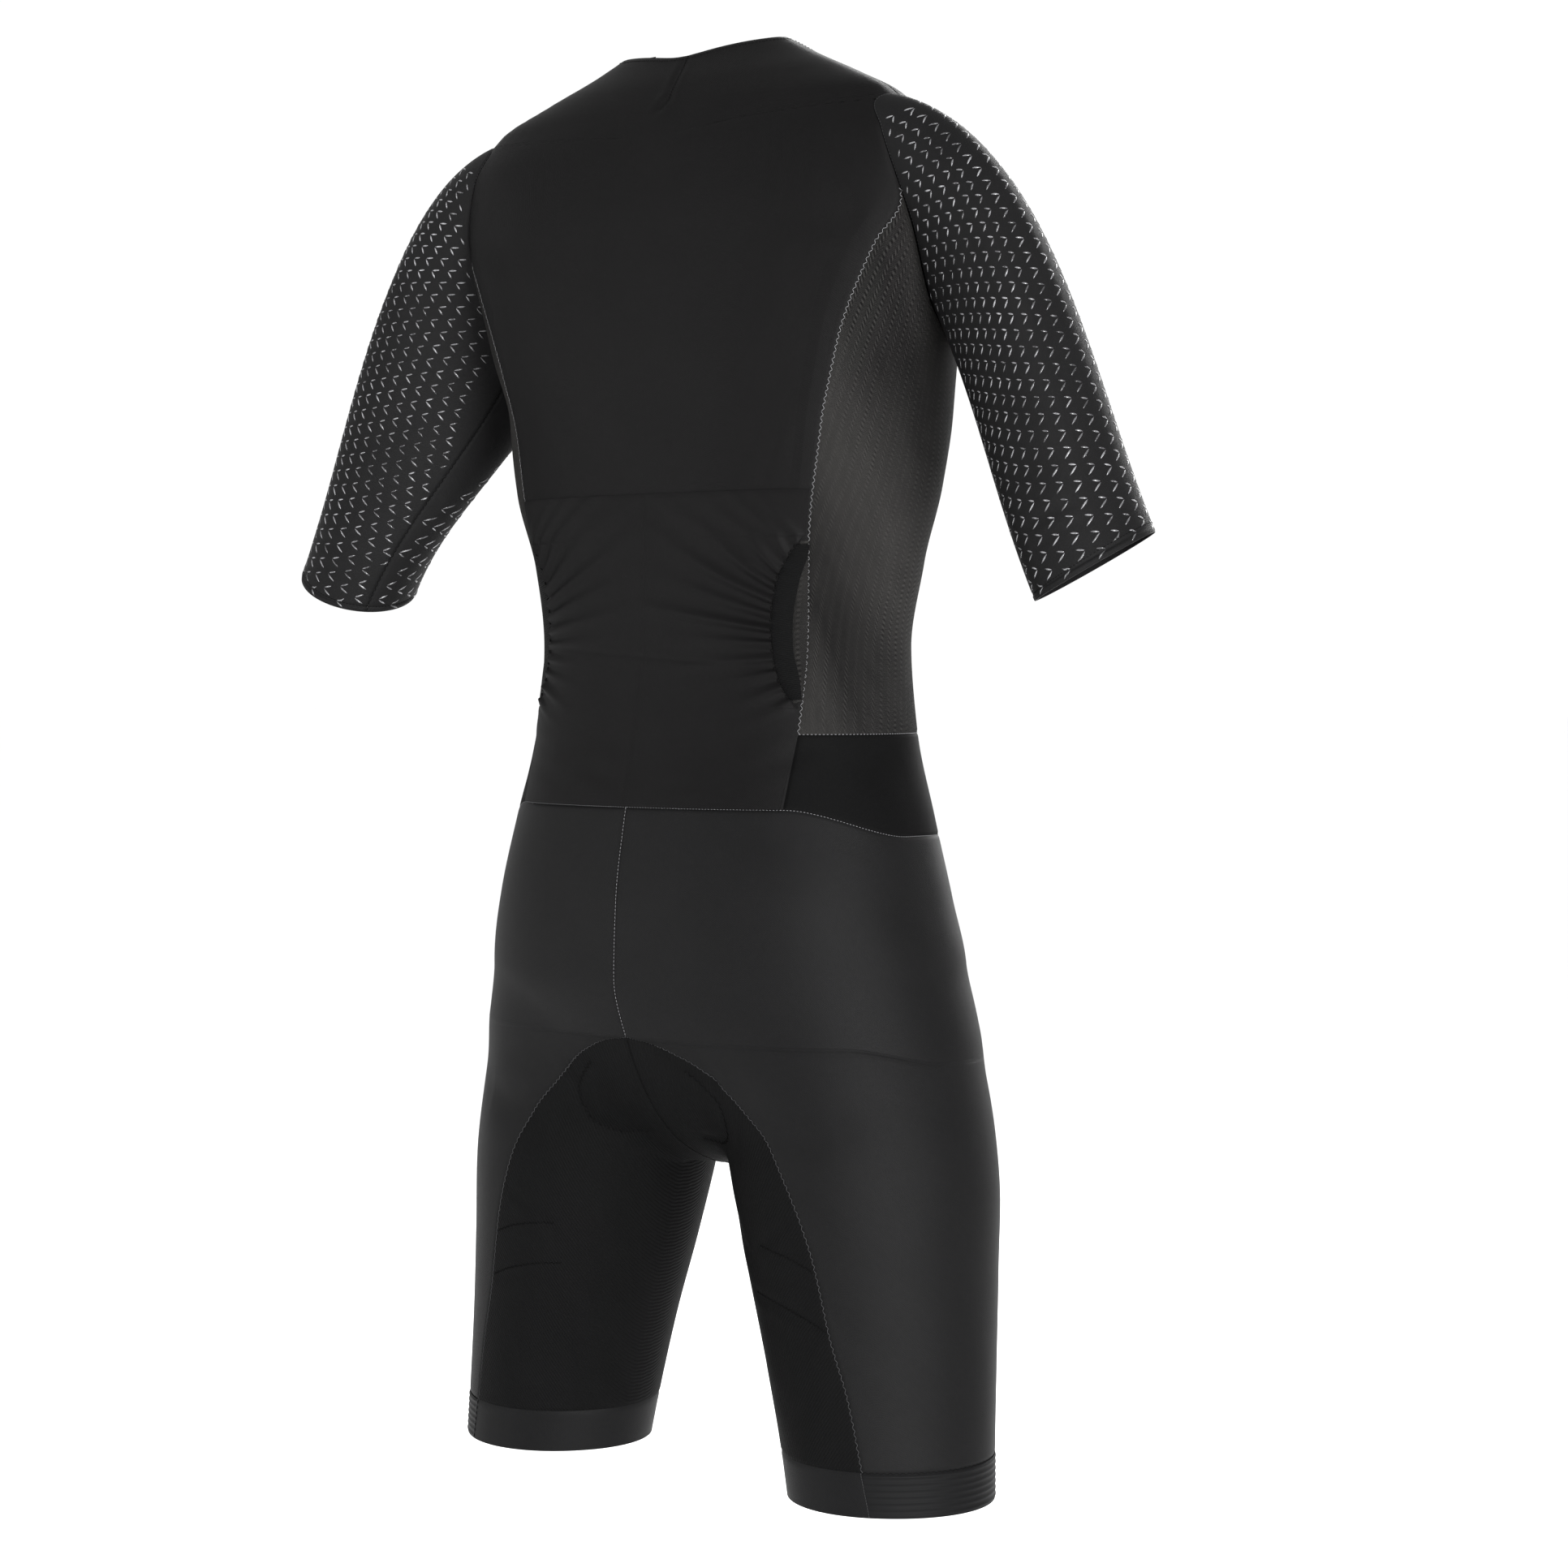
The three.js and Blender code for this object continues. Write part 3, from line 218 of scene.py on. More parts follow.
# Finer creases on one side of the body, uneven in length, width and depth
CREASE_COLUMNS = ["x1", "y1", "z1", "x2", "y2", "z2", "width", "depth"]
CREASE_ROWS = [
    (-196, 44, -166, -214, 66, -214, 5, 1.1),
    (-203, 38, -172, -232, 60, -222, 4, 0.9),
    (-214, 30, -186, -262, 50, -226, 5, 0.8),
    (-206, 52, -200, -246, 76, -252, 6, 1.0),
    (-236, 60, -262, -252, 76, -310, 5, 0.7),
    (-282, 76, -338, -330, 74, -318, 4, 0.8),
    (-290, 76, -350, -338, 68, -328, 3, 0.6),
    (194, 44, -160, 212, 66, -212, 5, 1.1),
    (204, 36, -176, 240, 60, -222, 4, 0.9),
    (218, 34, -196, 268, 50, -230, 5, 0.8),
    (232, 62, -250, 252, 76, -300, 6, 0.8),
    (282, 76, -338, 334, 70, -322, 4, 0.8),
    (288, 74, -354, 326, 72, -340, 3, 0.7),
    (176, 66, -130, 150, 84, -196, 5, 0.6),
    (164, 74, -122, 142, 88, -176, 6, 0.5),
    (172, 62, -170, 152, 80, -226, 4, 0.5),
    (-176, 62, -176, -150, 80, -232, 5, 0.6),
    (-168, 70, -118, -150, 84, -168, 6, 0.4),
    (118, 66, -478, 62, 92, -496, 6, 1.0),
    (126, 62, -466, 84, 84, -474, 5, 0.6),
    (40, 98, -486, 10, 99, -494, 6, 0.6),
    (-122, 62, -470, -84, 84, -490, 6, 0.6),
    (-64, 92, -494, -16, 98, -500, 5, 0.5),
    (142, 58, -690, 110, 86, -702, 6, 0.8),
    (-64, 104, -676, -104, 92, -700, 8, 0.7),
    (-142, 60, -706, -100, 84, -716, 7, 0.6),
    (150, 52, -900, 116, 72, -912, 7, 0.6),
    (-92, 54, -884, -128, 72, -900, 7, 0.6),
    (150, -58, -300, 100, -84, -352, 7, 0.8),
    (-152, -54, -310, -108, -82, -356, 7, 0.8),
    (-140, -60, -420, -80, -86, -452, 6, 0.7),
    (136, -62, -452, 80, -88, -478, 6, 0.7),
    (-84, -90, -560, -30, -104, -600, 9, 0.8),
    (88, -88, -574, 26, -104, -612, 9, 0.7),
    (160, -40, -760, 110, -76, -790, 9, 0.8),
    (-162, -36, -752, -112, -76, -786, 9, 0.9),
    (60, 56, -770, 96, 78, -800, 7, 0.6),
    (-56, 54, -776, -92, 76, -812, 7, 0.7),
    (-192, 52, -150, -188, 64, -200, 3, 0.9),
    (-200, 50, -176, -226, 66, -212, 4, 1.4),
    (-206, 56, -188, -236, 72, -216, 4, 1.2),
    (192, 54, -168, 224, 70, -214, 4, 1.3),
    (196, 62, -186, 232, 76, -232, 4, 1.2),
    (158, 70, -140, 150, 82, -204, 4, 0.7),
    (148, 76, -134, 140, 86, -190, 5, 0.6),
    (-7, 52, -13, -5, 70, -43, 3, 0.45),
    (-6, 69, -43, 3, 71, -50, 3, 1.3),
    (-5, 71, -55, 5, 71, -56, 3, -0.6),
    (64, 94, -678, 61, 84, -701, 4, 1.5),
    (61, 84, -701, 59, 71, -724, 4, 1.6),
    (59, 71, -724, 44, 59, -731, 4, 1.7),
    (44, 59, -731, 22, 56, -729, 4, 1.6),
    (-63, 94, -680, -61, 84, -702, 4, 1.4),
    (-61, 84, -702, -58, 71, -724, 4, 1.5),
    (-58, 71, -724, -42, 60, -730, 4, 1.5),
    (-42, 60, -730, -20, 57, -728, 4, 1.4),
    (-91, 80, -790, -126, 84, -768, 4, 1.2),
    (-81, 70, -822, -117, 81, -828, 4, 1.2),
    (-117, 81, -828, -140, 78, -839, 4, 1.1),
    (88, 78, -796, 122, 84, -774, 4, 1.0),
    (84, 72, -826, 136, 80, -836, 4, 1.0),
]


class HeightTable:
    """A table whose first column is a falling height, read smoothly without overshoot."""

    def __init__(self, columns, rows):
        table = np.array(rows, dtype=float)
        self.names = columns[1:]
        self.keys = -table[:, 0]
        self.values = table[:, 1:]
        spans = np.diff(self.keys)[:, None]
        secants = np.diff(self.values, axis=0) / spans
        before, after = spans[:-1], spans[1:]
        weight_before = 2 * after + before
        weight_after = after + 2 * before
        rising = secants[:-1] * secants[1:] > 0
        first = np.where(rising, secants[:-1], 1)
        second = np.where(rising, secants[1:], 1)
        harmonic = (weight_before + weight_after) / (weight_before / first + weight_after / second)
        inner = np.where(rising, harmonic, 0)
        self.slopes = np.vstack([secants[:1], inner, secants[-1:]])

    def at(self, z):
        key = np.clip(-np.asarray(z, dtype=float), self.keys[0], self.keys[-1])
        i = np.clip(np.searchsorted(self.keys, key, side="right") - 1, 0, len(self.keys) - 2)
        span = self.keys[i + 1] - self.keys[i]
        t = ((key - self.keys[i]) / span)[..., None]
        span = span[..., None]
        start = (1 + 2 * t) * (1 - t) ** 2 * self.values[i] + t * (1 - t) ** 2 * span * self.slopes[i]
        end = t * t * (3 - 2 * t) * self.values[i + 1] + t * t * (t - 1) * span * self.slopes[i + 1]
        read = start + end
        return SimpleNamespace(**{name: read[..., c] for c, name in enumerate(self.names)})


TORSO = HeightTable(TORSO_COLUMNS, TORSO_ROWS)
LEG = HeightTable(LEG_COLUMNS, LEG_ROWS)
SHOULDER_SEAM = HeightTable(SHOULDER_SEAM_COLUMNS, SHOULDER_SEAM_ROWS)
SIDE_EDGE = HeightTable(SIDE_EDGE_COLUMNS, SIDE_EDGE_ROWS)
MOUTH = HeightTable(MOUTH_COLUMNS, MOUTH_ROWS)
INNER_EDGE = HeightTable(INNER_EDGE_COLUMNS, INNER_EDGE_ROWS)
TORSO_END_Z = TORSO_ROWS[-1][0]
INNER_TOP_Z = INNER_EDGE_ROWS[0][0]


def mix(a, b, share):
    return a + (b - a) * share


def smoothstep(value, low, high):
    t = np.clip((value - low) / (high - low), 0, 1)
    return t * t * (3 - 2 * t)


def stacked(x, y, z):
    return np.stack(np.broadcast_arrays(x, y, z), axis=-1).astype(float)


def unit(vectors):
    return vectors / np.maximum(np.linalg.norm(vectors, axis=-1, keepdims=True), 1e-9)


def torso_sides(row, is_back):
    depth = np.where(is_back, row.back - row.mid, row.mid - row.front)
    power = np.where(is_back, row.square_back, row.square_front)
    return depth, power


def torso_point(angle, z):
    """Point of the torso at an angle from centre back towards the wearer's left."""
    row = TORSO.at(z)
    sine, cosine = np.sin(angle), np.cos(angle)
    depth, power = torso_sides(row, cosine > 0)
    radius = ((np.abs(sine) / row.half) ** power + (np.abs(cosine) / depth) ** power) ** (-1 / power)
    return stacked(radius * sine, row.mid + radius * cosine, z)


def torso_half_width(y, z):
    row = TORSO.at(z)
    depth, power = torso_sides(row, y > row.mid)
    return row.half * (1 - (np.abs(y - row.mid) / depth) ** power) ** (1 / power)


def torso_value(x, y, z):
    """Below zero inside the torso."""
    row = TORSO.at(z)
    depth, power = torso_sides(row, y > row.mid)
    norm = ((np.abs(x) / row.half) ** power + (np.abs(y - row.mid) / depth) ** power) ** (1 / power)
    return (norm - 1) * np.minimum(row.half, depth)


def torso_angle(point):
    return np.arctan2(point[..., 0], point[..., 1] - TORSO.at(point[..., 2]).mid)


def smooth_minimum(a, b, reach):
    share = np.clip(0.5 + 0.5 * (b - a) / reach, 0, 1)
    return mix(b, a, share) - reach * share * (1 - share)


def thigh_value(x, y, row, side):
    across = (x - row.x * side) * side
    behind = y - row.y
    cosine, sine = math.cos(LEG_LONG_AXIS_TURN), math.sin(LEG_LONG_AXIS_TURN)
    along_long = np.abs(cosine * across - sine * behind) / row.long
    along_short = np.abs(sine * across + cosine * behind) / row.short
    norm = (along_long ** row.square + along_short ** row.square) ** (1 / row.square)
    return (norm - 1) * np.minimum(row.long, row.short)


def seat_value(x, y, z):
    """Below zero inside the hips and thighs; the seat runs smoothly into two legs."""
    z = np.asarray(z, dtype=float)
    pelvis = np.where(z < TORSO_END_Z, SEAT_BLEND * 2, torso_value(x, y, z))
    row = LEG.at(z)
    legs = smooth_minimum(thigh_value(x, y, row, 1), thigh_value(x, y, row, -1), CROTCH_BLEND)
    grown = np.clip((LEG_BLEND_TOP_Z - z) / LEG_BLEND_DEPTH, 0, 1)
    joined = smooth_minimum(pelvis, legs, SEAT_BLEND * grown + 0.5)
    return np.where(z > LEG_BLEND_TOP_Z, pelvis, joined)


def bisect(is_high, low, high, halvings=30):
    """Halves the span between low and high; where is_high is true the upper end comes down."""
    for _ in range(halvings):
        middle = (low + high) / 2
        above = is_high(middle)
        high = np.where(above, middle, high)
        low = np.where(above, low, middle)
    return (low + high) / 2


def seat_point(origin_x, origin_y, z, angle):
    """Where a level ray from a point inside the shorts leaves them."""
    step_x, step_y = np.sin(angle), np.cos(angle)
    shape = np.broadcast_shapes(np.shape(origin_x), np.shape(z), np.shape(angle))
    reach = bisect(lambda r: seat_value(origin_x + step_x * r, origin_y + step_y * r, z) >= 0,
                   np.zeros(shape), np.full(shape, RAY_REACH))
    return stacked(origin_x + step_x * reach, origin_y + step_y * reach, z)


def gradient(value, points):
    x, y, z = points[..., 0], points[..., 1], points[..., 2]
    h = SLOPE_STEP
    return unit(stacked(
        value(x + h, y, z) - value(x - h, y, z),
        value(x, y + h, z) - value(x, y - h, z),
        value(x, y, z + h) - value(x, y, z - h),
    ))


def waist_seam_z(angle):
    """Height of the waist seam at an angle from centre back: level behind, dipping at the side."""
    turned = np.abs(angle) / DEGREE
    side = mix(WAIST_BACK_Z, WAIST_SIDE_Z, smoothstep(turned, WAIST_DIP_START, WAIST_DIP_END))
    return mix(side, WAIST_FRONT_Z, smoothstep(turned, WAIST_DIP_END, WAIST_FRONT_START))


def armhole_point(turn):
    y = ARMHOLE.y + ARMHOLE.half_depth * np.cos(turn) + ARMHOLE.lean * np.sin(turn)
    z = ARMHOLE.z + ARMHOLE.half_height * np.sin(turn)
    return stacked(torso_half_width(y, z), y, z)


ARMHOLE_SAMPLES = armhole_point(np.linspace(0, 2 * math.pi, 41))


def on_left(points):
    """The same places on the wearer's left."""
    return stacked(np.abs(points[..., 0]), points[..., 1], points[..., 2])


def troughs(points, columns, rows):
    """Each fold of a table, with the share of the way along it and the widths away from it."""
    for row in rows:
        fold = SimpleNamespace(**dict(zip(columns, row)))
        start = np.array([fold.x1, fold.y1, fold.z1])
        line = np.array([fold.x2, fold.y2, fold.z2]) - start
        along = np.clip((points - start) @ line / (line @ line), 0, 1)
        away = np.linalg.norm(points - (start + along[..., None] * line), axis=-1)
        yield fold, along, away / fold.width


def large_folds(points):
    share = np.where(points[..., 0] < 0, 1.0, 0.0)
    return sum(
        fold.depth * mix(1, fold.mirror, share)
        * mix(FOLD_END_SHARE, 1, np.sin(math.pi * along)) * np.exp(-away ** 2)
        for fold, along, away in troughs(on_left(points), FOLD_COLUMNS, FOLD_ROWS)
    )


def creases(points):
    """Each crease is a trough with a low ridge beside it."""
    return sum(
        fold.depth * np.sin(math.pi * mix(CREASE_START, CREASE_END, along))
        * (np.exp(-away ** 2) - CREASE_RIDGE * np.exp(-(away - CREASE_RIDGE_AWAY) ** 2))
        for fold, along, away in troughs(points, CREASE_COLUMNS, CREASE_ROWS)
    )


def from_armhole(points):
    place = on_left(points)
    return np.min([np.linalg.norm(place - sample, axis=-1) for sample in ARMHOLE_SAMPLES], axis=0)


def fold_depth(points):
    nearest = from_armhole(points)
    large = large_folds(points) * smoothstep(nearest, 2, FOLD_FADE_AT_ARMHOLE)
    return large + creases(points) * smoothstep(nearest, 0, CREASE_FADE_AT_ARMHOLE)


def shares(count, edge_mm=0.0, length_mm=1.0):
    """Shares of the way across a panel, with extra ones close to both edges for the seam's roll."""
    even = np.linspace(0, 1, count + 1)
    if not edge_mm:
        return even
    near = np.array(EDGE_ROW_STEPS) * edge_mm / length_mm
    clear = near[-1] * EDGE_ROW_CLEARANCE
    middle = even[(even > clear) & (even < 1 - clear)]
    return np.concatenate([[0], near, middle, 1 - near[::-1], [1]])


class Grid:
    """Rows and columns of points of one cloth piece, with the outward direction at each."""

    def __init__(self, points, normals):
        self.points = points
        self.normals = normals

    def mirrored(self):
        flip = np.array([-1.0, 1.0, 1.0])
        return Grid(self.points * flip, self.normals * flip)

    def moved(self, lift):
        lift = np.asarray(lift, dtype=float)
        lift = lift[..., None] if lift.ndim else lift
        return Grid(self.points + self.normals * lift, self.normals)

    def pulled_in(self, amount):
        """The outer rows and columns moved back from the seam."""
        points = self.points.copy()
        original = self.points
        points[0] += unit(original[1] - original[0]) * amount
        points[-1] += unit(original[-2] - original[-1]) * amount
        points[:, 0] += unit(original[:, 1] - original[:, 0]) * amount
        points[:, -1] += unit(original[:, -2] - original[:, -1]) * amount
        return Grid(points, self.normals)

    def lengths(self):
        """Distances along columns and along rows, in millimetres from the first row and column."""
        down = np.linalg.norm(np.diff(self.points, axis=0), axis=-1)
        across = np.linalg.norm(np.diff(self.points, axis=1), axis=-1)
        v = np.vstack([np.zeros((1, down.shape[1])), np.cumsum(down, axis=0)])
        u = np.hstack([np.zeros((across.shape[0], 1)), np.cumsum(across, axis=1)])
        u -= u[:, [u.shape[1] // 2]]
        return u, v

    def area(self):
        a = self.points[:-1, :-1] - self.points[1:, 1:]
        b = self.points[:-1, 1:] - self.points[1:, :-1]
        return 0.5 * np.linalg.norm(np.cross(a, b), axis=-1).sum()


def edge_roll(grid, sides):
    """How far the outer face turns down into the seams at its top, bottom, left or right, as named."""
    u, v = grid.lengths()
    gaps = {"t": v - v[:1], "b": v[-1:] - v, "l": u - u[:, :1], "r": u[:, -1:] - u}
    distance = np.min([np.full(u.shape, 1e3)] + [gaps[side] for side in sides], axis=0)
    return EDGE_ROLL_DIP * (1 - smoothstep(distance, 0, EDGE_ROLL_REACH))


def torso_grid(angle, z):
    points = torso_point(angle, z)
    return Grid(points, gradient(torso_value, points))


# Side edges of the bodice, as rows down the shoulder seam, the armhole and the side panel
SHOULDER_STEPS = 26
SHOULDER_ROW_CROWDING = 1.2
ARMHOLE_STEPS = 24
SIDE_STEPS = 116
LEAST_ROW_DROP = 0.4
SIDE_EDGE_FADE = 40

# Steps across or down a panel: how many, the depth of its rolled edge and its length in millimetres
SHOULDER_DOWN = (SHOULDER_STEPS, 1, 100)
INSERT_EDGE_DOWN = (24, 1, 50)
BACK_ACROSS = (114, 1, 360)
FRONT_ACROSS = (42, 1, 160)
SIDE_ACROSS = (52, 1, 130)
INSERT_DOWN = (24, 1, 60)
INSERT_ACROSS = (60, 1, 160)
POCKET_ACROSS = (130, 1, 260)
MOUTH_ACROSS = (8, 1, 13)
SLEEVE_AROUND = (130, 1, 290)
SLEEVE_DOWN = (92, 1, 240)
LEG_UPPER_DOWN = (50, 1, 150)
LEG_LOWER_DOWN = (88, 1, 262)
LEG_AROUND = (128, 1, 430)
INNER_AROUND = (70, 1, 200)
INNER_DOWN = (92, 1, 230)
HEM_AROUND = (96, 1, 300)
HEM_DOWN = (56, 0.5, 28)
HEM_INNER_AROUND = (60, 1, 300)
HEM_INNER_DOWN = (12, 0.5, 28)

# Rows of the pocket above, beside and below its mouths, and steps along a mouth's own strips
POCKET_ROWS_ABOVE = 14
POCKET_ROWS_BESIDE = 129
POCKET_ROWS_BELOW = 26
MOUTH_STEPS = 64
POCKET_SEAM_MARGIN = 0.6
RISE_SEARCH_DEPTH = 6
RISE_HALVINGS = 24
TINY = 0.01


def side_angle(z, apex, is_front):
    fade = smoothstep(apex[2] - z, 0, SIDE_EDGE_FADE)
    side = SIDE_EDGE.at(z)
    return mix(torso_angle(apex), (side.infront if is_front else side.behind) * DEGREE, fade)


def bodice_edge(is_front):
    apex_turn = ARMHOLE_FRONT_APEX if is_front else ARMHOLE_BACK_APEX
    apex = armhole_point(np.array(apex_turn))
    top = armhole_point(np.array(ARMHOLE_TOP))
    t = shares(*SHOULDER_DOWN)[:-1]
    shoulder_z = mix(NECK_SIDE_Z, top[2], t ** SHOULDER_ROW_CROWDING)
    seam = SHOULDER_SEAM.at(shoulder_z).angle * DEGREE
    shoulder_angle = mix(seam, torso_angle(top), smoothstep(t, 0.5, 1))
    armhole = armhole_point(mix(ARMHOLE_TOP, apex_turn, np.linspace(0, 1, ARMHOLE_STEPS + 1)[:-1]))
    side_z = mix(apex[2], SIDE_PANEL_BOTTOM_Z, np.linspace(0, 1, SIDE_STEPS + 1))
    side = side_angle(side_z, apex, is_front)
    low_angle = side_angle(np.array(WAIST_BACK_Z), apex, is_front)
    insert_share = shares(*INSERT_EDGE_DOWN)
    insert_share = insert_share[insert_share > 0.1]
    insert_z = mix(SIDE_PANEL_BOTTOM_Z, waist_seam_z(low_angle), insert_share)
    insert_angle = mix(side_angle(np.array(SIDE_PANEL_BOTTOM_Z), apex, is_front), low_angle, insert_share)
    z = np.concatenate([shoulder_z, armhole[:, 2], side_z, insert_z])
    angle = np.concatenate([shoulder_angle, torso_angle(armhole), side, insert_angle])
    return z, angle


def bodice_middle(edge_z, neck_z, waist_z):
    """Heights at the middle of the bodice for each row of its side edge, always falling."""
    falling = edge_z.copy()
    for r in range(1, len(falling)):
        falling[r] = min(falling[r], falling[r - 1] - LEAST_ROW_DROP)
    return mix(neck_z, waist_z, (NECK_SIDE_Z - falling) / (NECK_SIDE_Z - falling[-1]))


def back_panel_grid():
    edge_z, edge_angle = bodice_edge(False)
    middle = bodice_middle(edge_z, NECK_BACK_Z, WAIST_BACK_Z)
    across = 2 * shares(*BACK_ACROSS)[None, :] - 1
    z = mix(middle[:, None], edge_z[:, None], across ** 2)
    return torso_grid(edge_angle[:, None] * across, z)


def front_panel_grid():
    """Front panel on the wearer's left, from the side edge to the zip tape."""
    edge_z, edge_angle = bodice_edge(True)
    middle = bodice_middle(edge_z, NECK_FRONT_Z, WAIST_FRONT_Z)
    t = shares(*FRONT_ACROSS)[None, :]
    z = mix(edge_z[:, None], middle[:, None], 1 - (1 - t) ** 2)
    return torso_grid(mix(edge_angle[:, None], zip_angle(middle, TAPE_OUTER_X)[:, None], t), z)


def zip_angle(z, x):
    """Angle of a line beside the zip at a distance from the middle plane."""
    centre = torso_point(math.pi, z)
    return math.pi - np.arctan2(x, TORSO.at(z).mid - centre[..., 1])


def side_panel_grid():
    back_z, back_angle = bodice_edge(False)
    front_angle = bodice_edge(True)[1]
    down = np.linspace(0, 1, SIDE_STEPS + 1)[:, None]
    across = shares(*SIDE_ACROSS)[None, :]
    first = first_insert_row(back_z) - len(down)
    rows = slice(first, first + len(down))
    arc = armhole_point(mix(ARMHOLE_BACK_APEX, ARMHOLE_FRONT_APEX - 2 * math.pi, across))
    straight = mix(back_angle[rows, None], front_angle[rows, None], across)
    top_straight = mix(back_angle[first], front_angle[first], across)
    angle = straight + (1 - down) ** 2 * (torso_angle(arc) - top_straight)
    return torso_grid(angle, mix(arc[..., 2], SIDE_PANEL_BOTTOM_Z, down))


def first_insert_row(edge_z):
    return int(np.argmax(edge_z < SIDE_PANEL_BOTTOM_Z - TINY))


def side_insert_grid():
    back_z, back_angle = bodice_edge(False)
    front_z, front_angle = bodice_edge(True)
    start_back = back_angle[first_insert_row(back_z) - 1]
    start_front = front_angle[first_insert_row(front_z) - 1]
    down = shares(*INSERT_DOWN)[:, None]
    across = shares(*INSERT_ACROSS)[None, :]
    angle = mix(mix(start_back, start_front, across), mix(back_angle[-1], front_angle[-1], across), down)
    return torso_grid(angle, mix(SIDE_PANEL_BOTTOM_Z, waist_seam_z(angle), down))


# Gathers along the pocket mouth: how far each runs into the back and how high it stands.
# Rows run from the top of the mouth to its bottom.
GATHER_COLUMNS = ["reach_left", "rise_left", "reach_right", "rise_right"]
GATHER_ROWS = [
    (22, 0.6, 16, 0.6),
    (38, 0.9, 24, 0.8),
    (60, 1.0, 30, 0.9),
    (46, 0.8, 46, 1.0),
    (64, 1.0, 70, 0.9),
    (36, 0.8, 40, 0.8),
    (44, 0.6, 62, 1.0),
    (24, 0.6, 30, 0.7),
    (18, 0.5, 34, 0.6),
    (16, 0.6, 16, 0.6),
    (20, 0.8, 18, 0.8),
    (14, 0.6, 14, 0.7),
]
GATHER_SLOPE_TOP = 0.95
GATHER_SLOPE_BOTTOM = -0.5
PUCKERS_PER_GATHER = 2.5
PUCKER_RISE = 0.6
GATHER_SPREAD = 1.2
PUCKER_REACH = 8
GATHER_END_FADE = 0.04
GATHER_NARROWNESS = 1.5
GATHER_FALL = 1.3
POCKET_LEVEL_Z = -412
POCKET_LEVEL_SLOPE = 0.076
POCKET_LINE_WIDTH = 1.8
DIVIDER_LINE_DEPTH = 0.4
LEVEL_LINE_DEPTH = 0.35


def pocket_edge_angle(z):
    in_mouth = (z < MOUTH_TOP_Z) & (z > MOUTH_BOTTOM_Z)
    side = SIDE_EDGE.at(z).behind - POCKET_SEAM_MARGIN
    return np.where(in_mouth, np.minimum(MOUTH.at(z).gathered, side), side) * DEGREE


def pocket_grid():
    above = np.linspace(POCKET_TOP_Z, MOUTH_TOP_Z, POCKET_ROWS_ABOVE)[:-1]
    beside_mouth = np.linspace(MOUTH_TOP_Z, MOUTH_BOTTOM_Z, POCKET_ROWS_BESIDE)
    below = np.linspace(MOUTH_BOTTOM_Z, WAIST_BACK_Z, POCKET_ROWS_BELOW)[1:]
    z = np.concatenate([above, beside_mouth, below])
    across = 2 * shares(*POCKET_ACROSS)[None, :] - 1
    return torso_grid(pocket_edge_angle(z)[:, None] * across, z[:, None])


def gather_raise(points):
    """Height of the gathers: they fan out from each mouth and die away towards the middle back."""
    table = dict(zip(GATHER_COLUMNS, np.array(GATHER_ROWS).T))
    edge = torso_point(pocket_edge_angle(points[..., 2]), points[..., 2])
    away = np.linalg.norm(edge - on_left(points), axis=-1)
    length = MOUTH_TOP_Z - MOUTH_BOTTOM_Z
    spread = (GATHER_SLOPE_TOP - GATHER_SLOPE_BOTTOM) * away
    along = (MOUTH_TOP_Z + GATHER_SLOPE_TOP * away - points[..., 2]) / (length + spread)
    end = GATHER_END_FADE
    inside = smoothstep(along, -end, end) * (1 - smoothstep(along, 1 - end, 1 + end))
    place = np.clip(along * GATHERS - 0.5, 0, GATHERS - 1)

    def own(name):
        left, right = (np.interp(place, np.arange(GATHERS), table[f"{name}_{s}"]) for s in ("left", "right"))
        return np.where(points[..., 0] > 0, left, right)

    wave = 0.5 - 0.5 * np.cos(2 * math.pi * GATHERS * along)
    puckers = 0.5 - 0.5 * np.cos(2 * math.pi * GATHERS * PUCKERS_PER_GATHER * along)
    fade = np.exp(-((away / (GATHER_SPREAD * own("reach"))) ** GATHER_FALL))
    large = GATHER_RISE * own("rise") * wave ** GATHER_NARROWNESS * fade
    return inside * (large + PUCKER_RISE * puckers * np.exp(-away / PUCKER_REACH))


def pocket_lines(points):
    """Shallow lines that the pocket's inner seams press through its outer cloth."""
    divider = DIVIDER_LINE_DEPTH * np.exp(-((points[..., 0] / POCKET_LINE_WIDTH) ** 2))
    from_level = points[..., 2] - POCKET_LEVEL_Z - POCKET_LEVEL_SLOPE * points[..., 0]
    return divider + LEVEL_LINE_DEPTH * np.exp(-((from_level / POCKET_LINE_WIDTH) ** 2))


def pocket_lift(points):
    """The pocket lies flat on the back at its top and stands off a little below it."""
    below_top = smoothstep(POCKET_TOP_Z - points[..., 2], 0, POCKET_TOP_RISE_LENGTH)
    return mix(POCKET_TOP_LIFT, POCKET_LIFT, below_top)


def mouth_grid(inner, outer, margin):
    """A strip along the pocket mouth between two of its edges, each a function of height."""
    z = mix(MOUTH_TOP_Z - margin, MOUTH_BOTTOM_Z + margin, np.linspace(0, 1, MOUTH_STEPS + 1))
    across = shares(*MOUTH_ACROSS)[None, :]
    return torso_grid(mix(inner(z)[:, None], outer(z)[:, None], across) * DEGREE, z[:, None])


